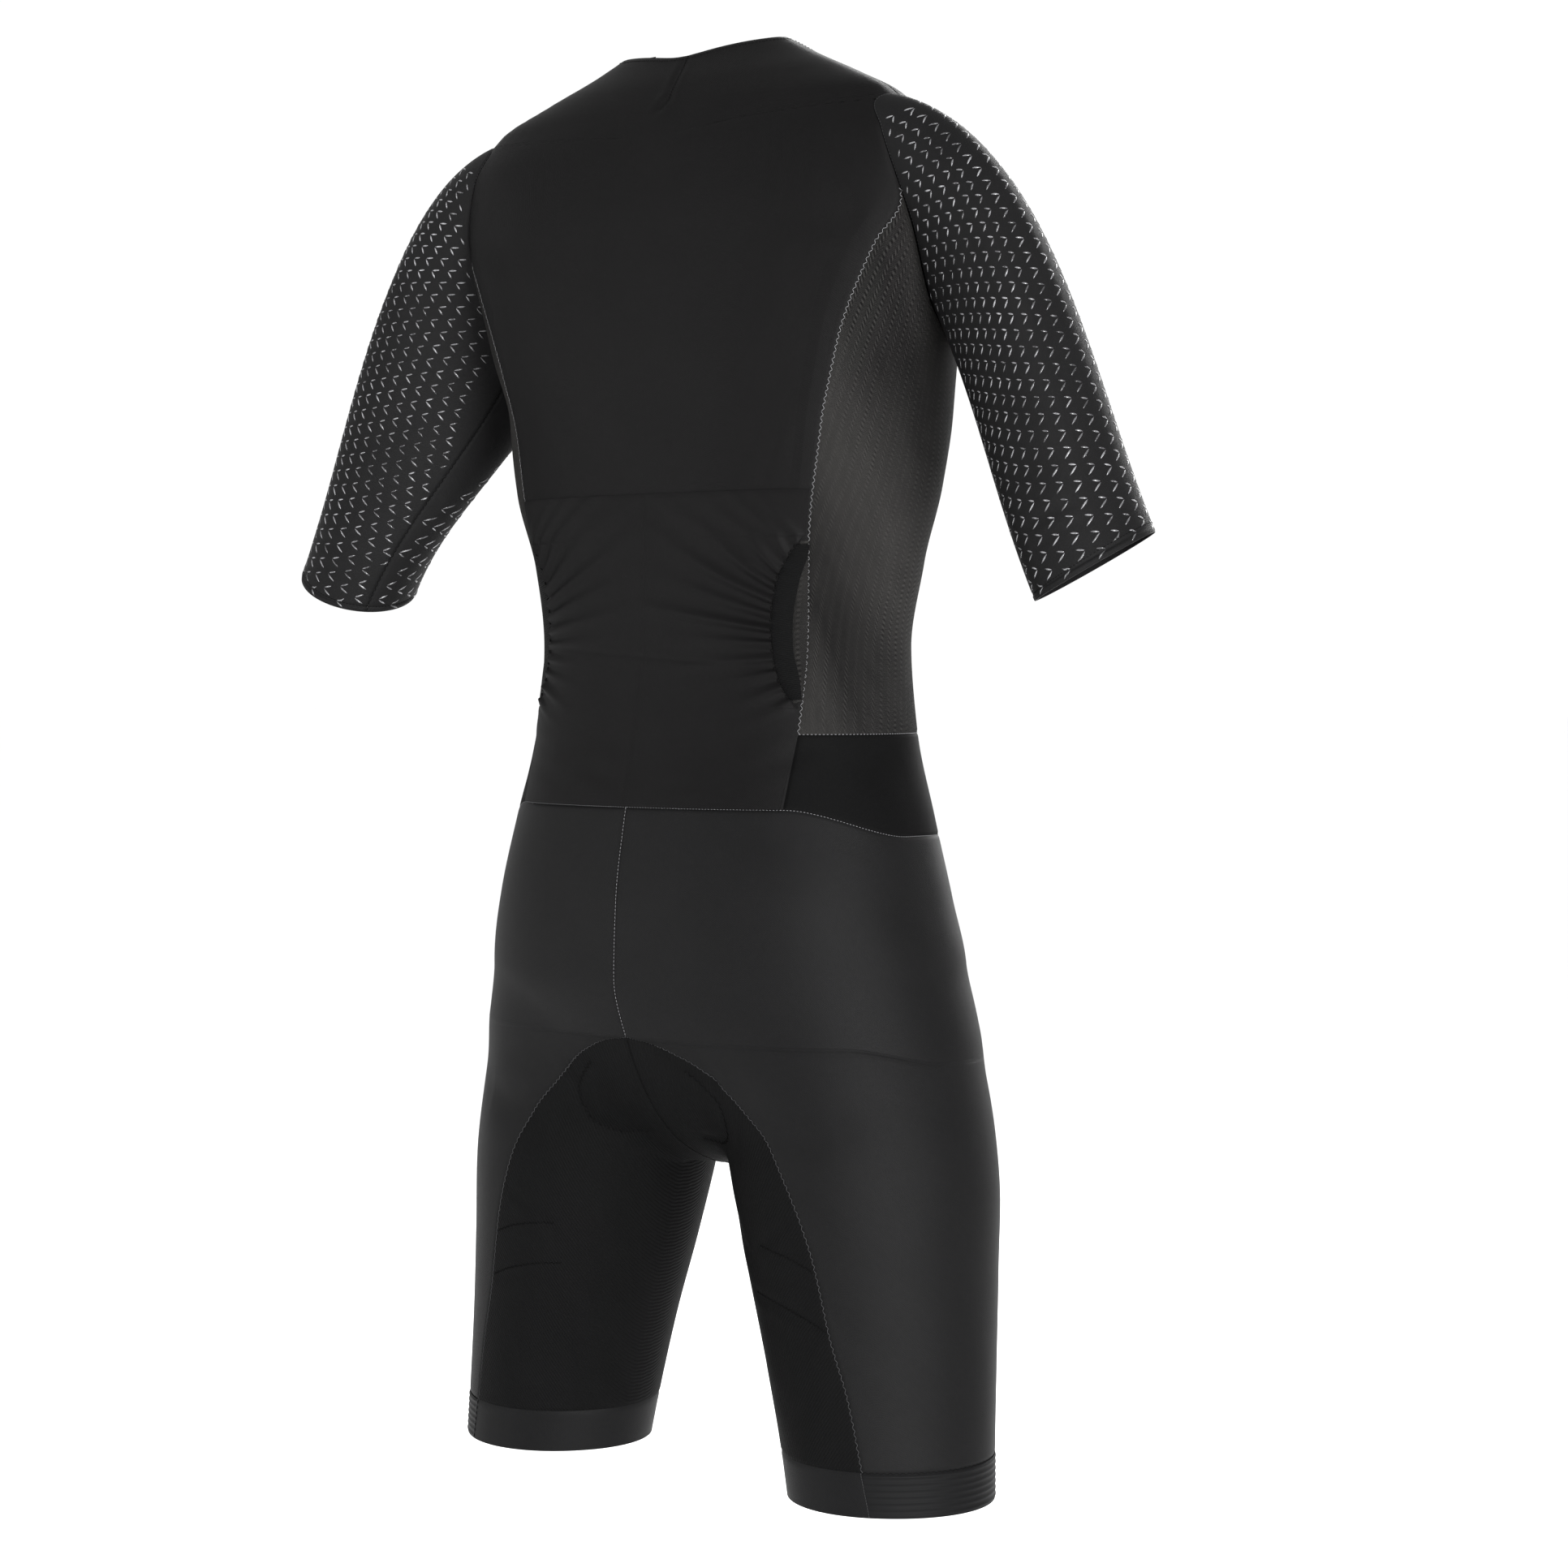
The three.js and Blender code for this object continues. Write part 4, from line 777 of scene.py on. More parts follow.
# Sleeve on the wearer's left, from the armhole seam to the cuff
ARM_AXIS = unit(np.array([math.sin(CUFF.tilt), 0.02, -math.cos(CUFF.tilt)]))
ARM_OUTWARD = np.array([math.cos(CUFF.tilt), 0, math.sin(CUFF.tilt)])
CUFF_BACKWARD = np.array([0, math.cos(CUFF.lean), 0]) + ARM_AXIS * math.sin(CUFF.lean)
SHOULDER_SLOPE = unit(np.array([0.97, 0.02, -0.24]))
CUFF_ROWS_MM = [2.3, 2.9, 3.5, 4.1, 4.7, 5.3, 6.0]
CUFF_LIP = 3.2
CUFF_LIP_RISE = 0.3
CUFF_LIP_SLOPE = 0.6
CUFF_GROOVE_DEPTH = 0.45
CUFF_GROOVE_AT = 1.2
CUFF_GROOVE_WIDTH = 0.9
SLEEVE_STEP = 0.004
SLEEVE_HEAD_SHAPE = 1.3


def sleeve_points(turn, down):
    turn, t = np.broadcast_arrays(turn, down)
    start = armhole_point(turn)
    start = start + gradient(torso_value, start) * SLEEVE_START_LIFT
    t = t[..., None]
    end = (np.array([CUFF.x, CUFF.y, CUFF.z]) + ARM_OUTWARD * CUFF.radius * np.sin(turn)[..., None]
           + CUFF_BACKWARD * CUFF.radius * np.cos(turn)[..., None])
    length = np.linalg.norm(end - start, axis=-1, keepdims=True)
    height = (0.5 + 0.5 * np.sin(turn)[..., None]) ** SLEEVE_HEAD_SHAPE
    leave = unit(mix(ARM_AXIS, SHOULDER_SLOPE, height)) * length
    arrive = ARM_AXIS * length
    return ((1 + 2 * t) * (1 - t) ** 2 * start + t * (1 - t) ** 2 * leave
            + t * t * (3 - 2 * t) * end + t * t * (t - 1) * arrive)


def sleeve_turns():
    return UNDERARM_TURN + 2 * math.pi * shares(*SLEEVE_AROUND)


def sleeve_grid():
    turn = sleeve_turns()[None, :]
    cuff_rows = 1 - np.array(CUFF_ROWS_MM) / SLEEVE_DOWN[-1]
    down = np.unique(np.concatenate([shares(*SLEEVE_DOWN), cuff_rows]))[:, None]
    points = sleeve_points(turn, down)
    h = SLEEVE_STEP
    along = sleeve_points(turn, np.minimum(down + h, 1)) - sleeve_points(turn, np.maximum(down - h, 0))
    around = sleeve_points(turn + h, down) - sleeve_points(turn - h, down)
    return Grid(points, unit(np.cross(around, along)))


# Leg panels; a row is a share of the way from the waist seam to the hem band
def ray_origin(z):
    out = smoothstep(WAIST_FRONT_Z - z, 0, WAIST_FRONT_Z - LEG_AXIS_START_Z)
    row = LEG.at(z)
    return row.x * out, row.y * out


def middle_angle(z, is_front):
    """Angle, seen from the ray origin, of a point on the middle plane of the body."""
    x, y = ray_origin(z)
    low = np.full(np.shape(z), -math.pi if is_front else -math.pi / 2)
    high = low + math.pi / 2
    return bisect(lambda angle: (seat_point(x, y, z, angle)[..., 0] < 0) == is_front, low, high)


def leg_edge_angle(z, is_front):
    seam_end = FRONT_RISE_Z if is_front else SEAT_ARCH_Z
    below = inner_angle(z, 1.0 if is_front else 0.0)
    return np.where(z > seam_end - TINY, middle_angle(z, is_front), below)


def outer_leg_grid():
    upper = mix(0, SEAT_ARCH_FRACTION, shares(*LEG_UPPER_DOWN))
    lower = mix(SEAT_ARCH_FRACTION, 1, shares(*LEG_LOWER_DOWN))[1:]
    share = np.concatenate([upper, lower])
    back_z = mix(WAIST_BACK_Z, HEM_BAND_TOP_Z, share)
    front_z = mix(WAIST_FRONT_Z, HEM_BAND_TOP_Z, share)
    start = leg_edge_angle(back_z, False)[:, None]
    end = leg_edge_angle(front_z, True)[:, None] + 2 * math.pi
    around = shares(*LEG_AROUND)[None, :]
    z = mix(waist_seam_z(math.pi * around), HEM_BAND_TOP_Z, share[:, None])
    x, y = ray_origin(z)
    points = seat_point(x, y, z, mix(start, end, around))
    return Grid(points, gradient(seat_value, points))


def inner_angle(z, around):
    settled = INNER_EDGE.at(z).behind * DEGREE
    below_arch = smoothstep(SEAT_ARCH_Z - z, 0, SEAT_ARCH_Z - INNER_TOP_Z)
    near_arch = mix(middle_angle(z, False), settled, below_arch)
    behind = np.where(z > INNER_TOP_Z, near_arch, settled)
    return mix(behind, INNER_EDGE.at(z).infront * DEGREE, around)


def inner_panel_grid():
    around = shares(*INNER_AROUND)
    rise_top = mix(SEAT_ARCH_Z, FRONT_RISE_Z, around)

    def is_past_middle(z):
        x, y = ray_origin(z)
        return seat_point(x, y, z, inner_angle(z, around))[..., 0] < 0

    search_floor = np.full(around.shape, TORSO_END_Z - RISE_SEARCH_DEPTH)
    rise = bisect(is_past_middle, search_floor, rise_top, RISE_HALVINGS)
    down = shares(*INNER_DOWN)[:, None]
    z = mix(rise[None, :], HEM_BAND_TOP_Z, down)
    x, y = ray_origin(z)
    points = seat_point(x, y, z, inner_angle(z, np.broadcast_to(around, z.shape)))
    points[0, :, 0] = 0
    return Grid(points, gradient(seat_value, points))


def hem_band_grid(around, down, is_inner):
    z = mix(HEM_BAND_TOP_Z, HEM_Z, shares(*down))[:, None]
    row = INNER_EDGE.at(z)
    x, y = ray_origin(z)
    start = row.behind * DEGREE
    end = row.infront * DEGREE + (0 if is_inner else 2 * math.pi)
    points = seat_point(x, y, z, mix(start, end, shares(*around)[None, :]))
    return Grid(points, gradient(seat_value, points))


def zip_tape_grid():
    z = bodice_middle(bodice_edge(True)[0], NECK_FRONT_Z, WAIST_FRONT_Z)[:, None]
    x = mix(TAPE_OUTER_X, TAPE_INNER_X, shares(6))[None, :]
    return torso_grid(zip_angle(z, x), np.broadcast_to(z, (z.shape[0], x.shape[1])))


# Mesh making
def in_scene(name, data):
    """A new object in the scene that holds the data."""
    holder = bpy.data.objects.new(name, data)
    bpy.context.scene.collection.objects.link(holder)
    return holder


def mesh_object(name, vertices, faces, material, uv=None):
    mesh = bpy.data.meshes.new(name)
    points = [tuple(v) for v in np.asarray(vertices) * MM]
    mesh.from_pydata(points, [], [tuple(int(i) for i in face) for face in faces])
    if uv is not None:
        layer = mesh.uv_layers.new(name="cloth")
        corners = np.empty(len(mesh.loops), dtype=int)
        mesh.loops.foreach_get("vertex_index", corners)
        layer.data.foreach_set("uv", (uv * MM)[corners].ravel())
    mesh.polygons.foreach_set("use_smooth", [True] * len(mesh.polygons))
    mesh.materials.append(material)
    mesh.validate()
    mesh.update()
    return in_scene(name, mesh)


def quads(rows, columns, offset=0):
    r, c = np.meshgrid(np.arange(rows - 1), np.arange(columns - 1), indexing="ij")
    first = (r * columns + c + offset).ravel()
    return np.stack([first, first + columns, first + columns + 1, first + 1], axis=1)


def shell_mesh(name, grid, material, raised=0.0, rolled="tblr", thickness=CLOTH):
    """A closed thin cloth shell: a fine outer face, a plain inner face and a rim between them."""
    inset = grid.pulled_in(SEAM_GAP / 2)
    fold = inset.normals * fold_depth(inset.points)[..., None]
    outer = Grid(inset.moved(raised - edge_roll(grid, rolled)).points - fold, inset.normals)
    inner = inset.moved(-thickness).points - fold
    rows, columns = grid.points.shape[:2]
    count = rows * columns
    border = np.concatenate([
        np.arange(columns),
        np.arange(1, rows) * columns + columns - 1,
        (rows - 1) * columns + np.arange(columns - 2, -1, -1),
        np.arange(rows - 2, 0, -1) * columns,
    ])
    following = np.roll(border, -1)
    rim = np.stack([border, following, following + count, border + count], axis=1)
    faces = np.concatenate([quads(rows, columns), quads(rows, columns, count)[:, ::-1], rim])
    if faces_inward(grid):
        faces = faces[:, ::-1]
    u, v = grid.lengths()
    uv = np.stack([u.ravel(), v.ravel()], axis=1)
    points = np.concatenate([outer.points.reshape(-1, 3), inner.reshape(-1, 3)])
    piece = mesh_object(name, points, faces, material, np.concatenate([uv, uv]))
    sharp_rim(piece.data, np.stack([border, following], axis=1), count)
    return piece, outer


def faces_inward(grid):
    across = grid.points[1:, 1:] - grid.points[1:, :-1]
    down = grid.points[1:, 1:] - grid.points[:-1, 1:]
    facing = np.einsum("ijk,ijk->ij", np.cross(across, down), grid.normals[1:, 1:])
    return np.sign(facing).sum() > 0


def sharp_rim(mesh, line, count):
    """The narrow edge of the cloth is shaded apart from its two faces."""
    ends = np.empty(len(mesh.edges) * 2, dtype=int)
    mesh.edges.foreach_get("vertices", ends)
    ends = np.sort(ends.reshape(-1, 2), axis=1)
    line = np.sort(np.concatenate([line, line + count]), axis=1)
    key = 2 * count
    sharp = np.isin(ends[:, 0] * key + ends[:, 1], line[:, 0] * key + line[:, 1])
    mesh.attributes.new("sharp_edge", "BOOLEAN", "EDGE").data.foreach_set("value", sharp)


def tubes_mesh(name, tubes, sides, material):
    """One mesh of small closed tubes, each given as its points ring by ring."""
    count, per_tube = tubes.shape[:2]
    last = per_tube - sides
    faces = [tuple(reversed(range(sides))), tuple(range(last, per_tube))]
    for low in range(0, last, sides):
        for s in range(sides):
            following = low + (s + 1) % sides
            faces.append((low + s, following, following + sides, low + s + sides))
    starts = range(0, count * per_tube, per_tube)
    all_faces = [[corner + start for corner in face] for start in starts for face in faces]
    return mesh_object(name, tubes.reshape(-1, 3), all_faces, material)


def face_at(face, down, across):
    """Points and outward directions of a cloth face at rows and columns given as fractions."""
    rows, columns = face.points.shape[:2]
    r = np.minimum(down.astype(int), rows - 2)
    c = np.minimum(across.astype(int), columns - 2)
    a, b = (down - r)[:, None], (across - c)[:, None]
    read = []
    for values in (face.points, face.normals):
        upper = mix(values[r, c], values[r, c + 1], b)
        read.append(mix(upper, mix(values[r + 1, c], values[r + 1, c + 1], b), a))
    return read[0], unit(read[1])


def beside(path, normals):
    """The direction on the cloth across a path."""
    return unit(np.cross(unit(np.gradient(path, axis=0)), normals))


# Stitches: each run is a set of threads from a start to an end
STITCH_SIDES = 4
THREAD_STATIONS = [0.0, 0.25, 0.75, 1.0]
THREAD_ARCH = 0.18
THREAD_SINK = 0.8
ZIGZAG_LIFT = 0.12


def resampled(line, pitch, start=0.0):
    """Points and outward directions at an even pitch on a line, from a share of its length on."""
    steps = np.linalg.norm(np.diff(line[0], axis=0), axis=-1)
    along = np.concatenate([[0], np.cumsum(steps)])
    count = max(2, int(round(along[-1] * (1 - start) / pitch)))
    wanted = np.linspace(along[-1] * start, along[-1], count + 1)
    points, normals = [
        np.stack([np.interp(wanted, along, values[:, k]) for k in range(3)], axis=1) for values in line
    ]
    return points, unit(normals)


def zigzag(line, pitch=2.1, width=1.7, start=0.0):
    place, normal = resampled(line, pitch, start)
    swing = np.where(np.arange(len(place)) % 2 == 0, 0.5, -0.5)[:, None] * width
    thread = place + beside(place, normal) * swing + normal * ZIGZAG_LIFT
    return thread[:-1], thread[1:], normal[:-1]


def running(line, pitch=2.4, stitch=1.5, sideways=0.0, lift=0.08):
    place, normal = resampled(line, pitch)
    thread = place + beside(place, normal) * sideways + normal * lift
    return thread[:-1], thread[:-1] + unit(thread[1:] - thread[:-1]) * stitch, normal[:-1]


def threads(name, runs, material, radius, arch=THREAD_ARCH):
    """Short round threads from each start to each end, arched a little off the cloth."""
    starts, ends, normals = (np.concatenate(part) for part in zip(*runs))
    sides = unit(np.cross(ends - starts, normals))
    sunk = -radius * THREAD_SINK
    rings = []
    for share, height in zip(THREAD_STATIONS, (sunk, arch, arch, sunk)):
        middle = mix(starts, ends, share) + normals * height
        for s in range(STITCH_SIDES):
            angle = 2 * math.pi * s / STITCH_SIDES
            rings.append(middle + (sides * math.cos(angle) + normals * math.sin(angle)) * radius)
    return tubes_mesh(name, np.stack(rings, axis=1), STITCH_SIDES, material)


# Materials. Pitches and reliefs are in metres, and a noise's scale is in repeats a metre.
NOISE_ROUGHNESS = 0.6
KNIT_PITCH = 0.0011
KNIT_COURSE = 0.00088
KNIT_RELIEF = 0.00012
DASH_COLUMN = 0.0072
DASH_PITCH = 0.0034
DASH_GROUND_PITCH = 0.0013
DASH_WANDER = 0.0012
DASH_FADE_PITCH = 0.2
DASH_RELIEF = 0.0002
DASH_DARK = (0.0035, 0.0034, 0.0034)
DASH_LIGHT = (0.03, 0.029, 0.0278)


class Finish:
    """A named material with short ways to add nodes to it."""

    def __init__(self, name, colour, roughness, metallic=0.0, gloss=0.5):
        self.material = bpy.data.materials.new(name)
        self.material.use_nodes = True
        self.nodes = self.material.node_tree.nodes
        self.link = self.material.node_tree.links.new
        self.shader = self.nodes["Principled BSDF"].inputs
        self.shader["Base Color"].default_value = (*colour, 1)
        self.shader["Roughness"].default_value = roughness
        self.shader["Metallic"].default_value = metallic
        self.shader["Specular IOR Level"].default_value = gloss

    def add_node(self, kind, inputs, **settings):
        """The outputs of a new node; an input is a number, a colour or another node's output."""
        node = self.nodes.new(f"ShaderNode{kind}")
        for name, value in settings.items():
            setattr(node, name, value)
        for name, value in inputs.items():
            if isinstance(value, bpy.types.NodeSocket):
                self.link(value, node.inputs[name])
            else:
                node.inputs[name].default_value = value
        return node.outputs

    def cloth_place(self):
        """Place on the cloth, and its distances across and along."""
        uv = self.add_node("UVMap", {}, uv_map="cloth")["UV"]
        split = self.add_node("SeparateXYZ", {"Vector": uv})
        return uv, split["X"], split["Y"]

    def body_place(self):
        return self.add_node("TexCoord", {})["Object"]

    def math(self, operation, *values):
        return self.add_node("Math", dict(enumerate(values)), operation=operation)[0]

    def times(self, first, second):
        return self.math("MULTIPLY", first, second)

    def weighted(self, value, weight, rest):
        """The value times its weight, added to the rest."""
        return self.math("MULTIPLY_ADD", value, weight, rest)

    def wave(self, coordinate, pitch, phase=0.0):
        """A smooth repeat from -1 to 1 along a coordinate."""
        return self.math("SINE", self.weighted(coordinate, 2 * math.pi / pitch, phase))

    def noise(self, place, scale, detail):
        inputs = {"Vector": place, "Scale": scale, "Detail": detail, "Roughness": NOISE_ROUGHNESS}
        return self.add_node("TexNoise", inputs)["Fac"]

    def scaled(self, value, low, high):
        return self.add_node("MapRange", {"Value": value, "To Min": low, "To Max": high})["Result"]

    def set_colour(self, factor, low, high):
        inputs = {"Factor": factor, "A": (*low, 1), "B": (*high, 1)}
        self.link(self.add_node("Mix", inputs, data_type="RGBA")["Result"], self.shader["Base Color"])

    def set_roughness(self, factor, low, high):
        self.link(self.scaled(factor, low, high), self.shader["Roughness"])

    def set_bump(self, height, distance):
        bump = self.add_node("Bump", {"Height": height, "Distance": distance})
        self.link(bump["Normal"], self.shader["Normal"])


def stretch_cloth(name, dark, light, roughness, gloss, rib=0.0):
    """Fine stretch knit: a close grid of loops, soft cloudiness and a low gloss."""
    cloth = Finish(name, dark, roughness, gloss=gloss)
    uv, across, along = cloth.cloth_place()
    loops = cloth.times(cloth.wave(across, KNIT_PITCH), cloth.wave(along, KNIT_COURSE))
    cloud = cloth.noise(uv, 22, 4)
    grain = cloth.noise(uv, 1400, 2)
    shade = cloth.weighted(loops, 0.12, cloth.scaled(cloud, 0.15, 0.6))
    shade = cloth.math("ADD", shade, cloth.scaled(grain, -0.15, 0.35))
    cloth.set_colour(shade, dark, light)
    cloth.set_roughness(grain, roughness - 0.07, roughness + 0.09)
    height = cloth.weighted(loops, 0.35, grain)
    if rib:
        height = cloth.weighted(cloth.wave(along, rib), 1.2, height)
    cloth.set_bump(height, KNIT_RELIEF)
    return cloth.material


def textured_knit(name):
    """Lighter knit with upright columns of short dashes over a fine ground."""
    knit = Finish(name, DASH_LIGHT, 0.78, gloss=0.04)
    uv, across, along = knit.cloth_place()
    drift = knit.noise(uv, 26, 3)
    grain = knit.noise(uv, 1200, 2)
    patches = knit.noise(uv, 9, 2)
    columns = knit.wave(knit.math("ADD", across, knit.times(drift, DASH_WANDER)), DASH_COLUMN)
    ridge = knit.math("MAXIMUM", columns, 0.0)
    zigzag_phase = knit.times(knit.wave(across, DASH_COLUMN * 2), 1.3)
    dash = knit.times(ridge, knit.wave(along, DASH_PITCH, zigzag_phase))
    loops = knit.times(knit.wave(across, DASH_GROUND_PITCH), knit.wave(along, KNIT_PITCH))
    open_work = knit.math("MAXIMUM", knit.scaled(patches, -0.7, 1.3), 0.0)
    shade = knit.weighted(ridge, 0.06, 0.3)
    shade = knit.weighted(knit.times(dash, open_work), 0.75, shade)
    shade = knit.weighted(knit.wave(along, DASH_FADE_PITCH, -1.1 * math.pi), 0.16, shade)
    shade = knit.weighted(loops, 0.1, shade)
    shade = knit.math("ADD", shade, knit.scaled(drift, -0.2, 0.16))
    shade = knit.math("ADD", shade, knit.scaled(grain, -0.2, 0.25))
    knit.set_colour(shade, DASH_DARK, DASH_LIGHT)
    knit.set_bump(knit.weighted(dash, 0.7, knit.math("ADD", loops, grain)), DASH_RELIEF)
    return knit.material


def plain_material(name, colour, roughness, metallic=0.0, gloss=0.5, grain_size=900, relief=0.00005):
    plain = Finish(name, colour, roughness, metallic, gloss)
    grain = plain.noise(plain.body_place(), grain_size, 2)
    plain.set_colour(grain, colour, tuple(c * 1.5 + 0.004 for c in colour))
    plain.set_roughness(grain, roughness - 0.05, roughness + 0.08)
    plain.set_bump(grain, relief)
    return plain.material


def grip_print_painted_glints(name, dull, painted_glint_grey, roughness):
    """Silicone print whose base colour is lightened in noise patches: painted glints that stand in for marks
    catching the light.
    """
    grip = Finish(name, dull, roughness)
    place = grip.body_place()
    # Painted glints: small and large noise lighten the marks' base colour in place of highlights.
    mark_glints = grip.scaled(grip.noise(place, 130, 2), -1.2, 1.4)
    glint_patches = grip.scaled(grip.noise(place, 14, 1), -0.7, 1.3)
    grip.set_colour(grip.math("ADD", mark_glints, glint_patches), dull, painted_glint_grey)
    return grip.material


BODY_CLOTH = stretch_cloth("body_cloth", (0.0012, 0.00115, 0.0012), (0.0034, 0.0032, 0.0033), 0.5, 0.045)
SLEEVE_CLOTH = stretch_cloth("sleeve_cloth", (0.0017, 0.0017, 0.0018), (0.0052, 0.0051, 0.0053), 0.55, 0.06)
SHORTS_CLOTH = stretch_cloth("shorts_cloth", (0.0017, 0.0017, 0.00175), (0.0045, 0.0044, 0.0046), 0.5, 0.05)
INSERT_CLOTH = stretch_cloth("insert_cloth", (0.0012, 0.0012, 0.0012), (0.0029, 0.0029, 0.003), 0.62, 0.02)
RIB_CLOTH = stretch_cloth("rib_cloth", (0.0008, 0.0008, 0.0008), (0.0034, 0.0034, 0.0035), 0.6, 0.025, 0.0026)
BAND_CLOTH = stretch_cloth("band_cloth", (0.0014, 0.0014, 0.0015), (0.004, 0.004, 0.0042), 0.5, 0.05)
ELASTIC = stretch_cloth("pocket_elastic", (0.0012, 0.0012, 0.0012), (0.0034, 0.0034, 0.0035), 0.55, 0.025,
                        0.0014)
TAPE_CLOTH = stretch_cloth("zip_tape", (0.0018, 0.0018, 0.0019), (0.005, 0.005, 0.0053), 0.65, 0.04, 0.0012)
SIDE_KNIT = textured_knit("side_knit")
LIGHT_THREAD = plain_material("light_thread", (0.1, 0.1, 0.103), 0.65, gloss=0.1)
GREY_THREAD = plain_material("grey_thread", (0.026, 0.026, 0.027), 0.65, gloss=0.05)
DARK_THREAD = plain_material("dark_thread", (0.0008, 0.0008, 0.0008), 0.8, gloss=0.01)
# Grip marks whose base colour carries painted glints.
GRIP_WITH_PAINTED_GLINTS = grip_print_painted_glints("grip_silicone_painted_glints", (0.014, 0.014, 0.015), (0.125, 0.125, 0.13), 0.2)
ZIP_METAL = plain_material("zip_metal", (0.05, 0.05, 0.054), 0.34, 0.85, grain_size=700, relief=0.00002)


# Cloth pieces
LEFT_AND_RIGHT = ("left", "right")


def dress(piece, node, slot):
    """Hides the frame node that a piece stands for; its finish slot is not used; every piece here rides on
    the suit.
    """
    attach(piece, "suit")
    if node:
        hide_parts(node)


def cloth(name, node, slot, grid, material, **options):
    """One cloth piece; returns its outer face. Its lengths and area are worked out but not kept."""
    piece, outer = shell_mesh(name, grid, material, **options)
    dress(piece, node, slot)
    u, v = outer.lengths()
    area = outer.area()
    return outer


def own_side(grid, side):
    return grid.mirrored() if side == "right" else grid


def cloth_pair(name, slot, grid, material, **options):
    """The same cloth piece on the wearer's left and right."""
    return {
        side: cloth(f"{name}_{side}_cloth", f"{name}_{side}", slot, own_side(grid, side), material, **options)
        for side in LEFT_AND_RIGHT
    }


# Bodice
back_face = cloth("back_panel_cloth", "back_panel", "body_cloth", back_panel_grid(), BODY_CLOTH)
front_faces = cloth_pair("front_panel", "body_cloth", front_panel_grid(), BODY_CLOTH)
side_faces = cloth_pair("side_panel", "side_knit", side_panel_grid(), SIDE_KNIT)
cloth_pair("side_waist", "side_insert", side_insert_grid(), INSERT_CLOTH)

# Pocket
BAND_MARGIN = 6
MOUTH_KNIT_MARGIN = 4
MOUTH_KNIT_TUCK = 2.5
MOUTH_KNIT_LIFT = 0.45
MOUTH_KNIT_THICKNESS = 0.4
pocket = pocket_grid()
pocket_relief = gather_raise(pocket.points) - pocket_lines(pocket.points)
cloth("pocket_panel_cloth", "pocket_panel", "body_cloth", pocket.moved(pocket_lift(pocket.points)),
      BODY_CLOTH, raised=pocket_relief, rolled="t")
band = mouth_grid(lambda z: MOUTH.at(z).gathered, lambda z: MOUTH.at(z).free, BAND_MARGIN)
band_faces = cloth_pair("pocket_band", "pocket_elastic", band.moved(POCKET_LIFT), ELASTIC, rolled="")
mouth_knit = mouth_grid(lambda z: MOUTH.at(z).free - MOUTH_KNIT_TUCK, lambda z: SIDE_EDGE.at(z).behind,
                        MOUTH_KNIT_MARGIN)
for side in LEFT_AND_RIGHT:
    cloth(f"mouth_knit_{side}", None, "side_knit", own_side(mouth_knit, side).moved(MOUTH_KNIT_LIFT),
          SIDE_KNIT, rolled="", thickness=MOUTH_KNIT_THICKNESS)

# Sleeves: a raised lip at the cuff and a groove above it
sleeve = sleeve_grid()
sleeve_down = sleeve.lengths()[1]
above_cuff = sleeve_down[-1:] - sleeve_down - CUFF_LIP
lip = CUFF_LIP_RISE * (1 - smoothstep(above_cuff, -CUFF_LIP_SLOPE, CUFF_LIP_SLOPE))
groove = CUFF_GROOVE_DEPTH * np.exp(-(((above_cuff - CUFF_GROOVE_AT) / CUFF_GROOVE_WIDTH) ** 2))
sleeve_faces = cloth_pair("sleeve", "body_cloth", sleeve, SLEEVE_CLOTH, raised=lip - groove)

# Shorts
leg_faces = cloth_pair("leg_outer", "shorts_cloth", outer_leg_grid(), SHORTS_CLOTH)
inner_faces = cloth_pair("inner_panel", "rib_cloth", inner_panel_grid(), RIB_CLOTH)
ribbed = hem_band_grid(HEM_AROUND, HEM_DOWN, False)
rib_share = (HEM_BAND_TOP_Z - ribbed.points[..., 2]) / (HEM_BAND_TOP_Z - HEM_Z)
rib_wave = 0.5 - 0.5 * np.cos(2 * math.pi * HEM_RIBS * rib_share)
rib_height = HEM_RIB_RISE * rib_wave ** HEM_RIB_NARROWNESS
hem_faces = cloth_pair("hem_band", "hem_elastic", ribbed, BAND_CLOTH, raised=rib_height, rolled="t")
hem_inner = hem_band_grid(HEM_INNER_AROUND, HEM_INNER_DOWN, True)
cloth_pair("hem_inner", "hem_elastic", hem_inner, BAND_CLOTH, rolled="t")

# Zip: tapes, two rows of small coil loops that meet in the middle, and the frame's own slider and pull
TOOTH_PITCH = 1.3
TOOTH_OUTER = 0.7
TOOTH_LENGTH = 2.3
TOOTH_RADIUS = 0.42
TOOTH_ARCH = 0.25
tape = zip_tape_grid()
cloth_pair("zip_tape", "zip_tape", tape, TAPE_CLOTH, rolled="")
tooth_place, tooth_normal = resampled((tape.points[:, -1], tape.normals[:, -1]), TOOTH_PITCH)
teeth = []
for turned, shift in ((1, 0), (-1, TOOTH_PITCH / 2)):
    flip = np.array([turned, 1, 1])
    outer_end = tooth_place * flip + np.array([turned * TOOTH_OUTER, 0, -shift])
    teeth.append((outer_end, outer_end - np.array([turned * TOOTH_LENGTH, 0, 0]), tooth_normal * flip))
dress(threads("zip_teeth", teeth, TAPE_CLOTH, TOOTH_RADIUS, TOOTH_ARCH), None, "zip_tape")
for node in ("zip_slider", "zip_pull"):
    carried = bpy.data.objects[node].data.materials
    carried.clear()
    carried.append(ZIP_METAL)


# Sewing on the pieces
def edge_line(face, side, inset=0):
    """Points and outward directions along one edge of a cloth face, or a few rows or columns inside it."""
    first, last = inset, -1 - inset
    part = {"t": first, "b": last, "l": (slice(None), first), "r": (slice(None), last)}[side]
    return face.points[part], face.normals[part]


def line_above(line, z):
    kept = line[0][:, 2] > z
    return line[0][kept], line[1][kept]


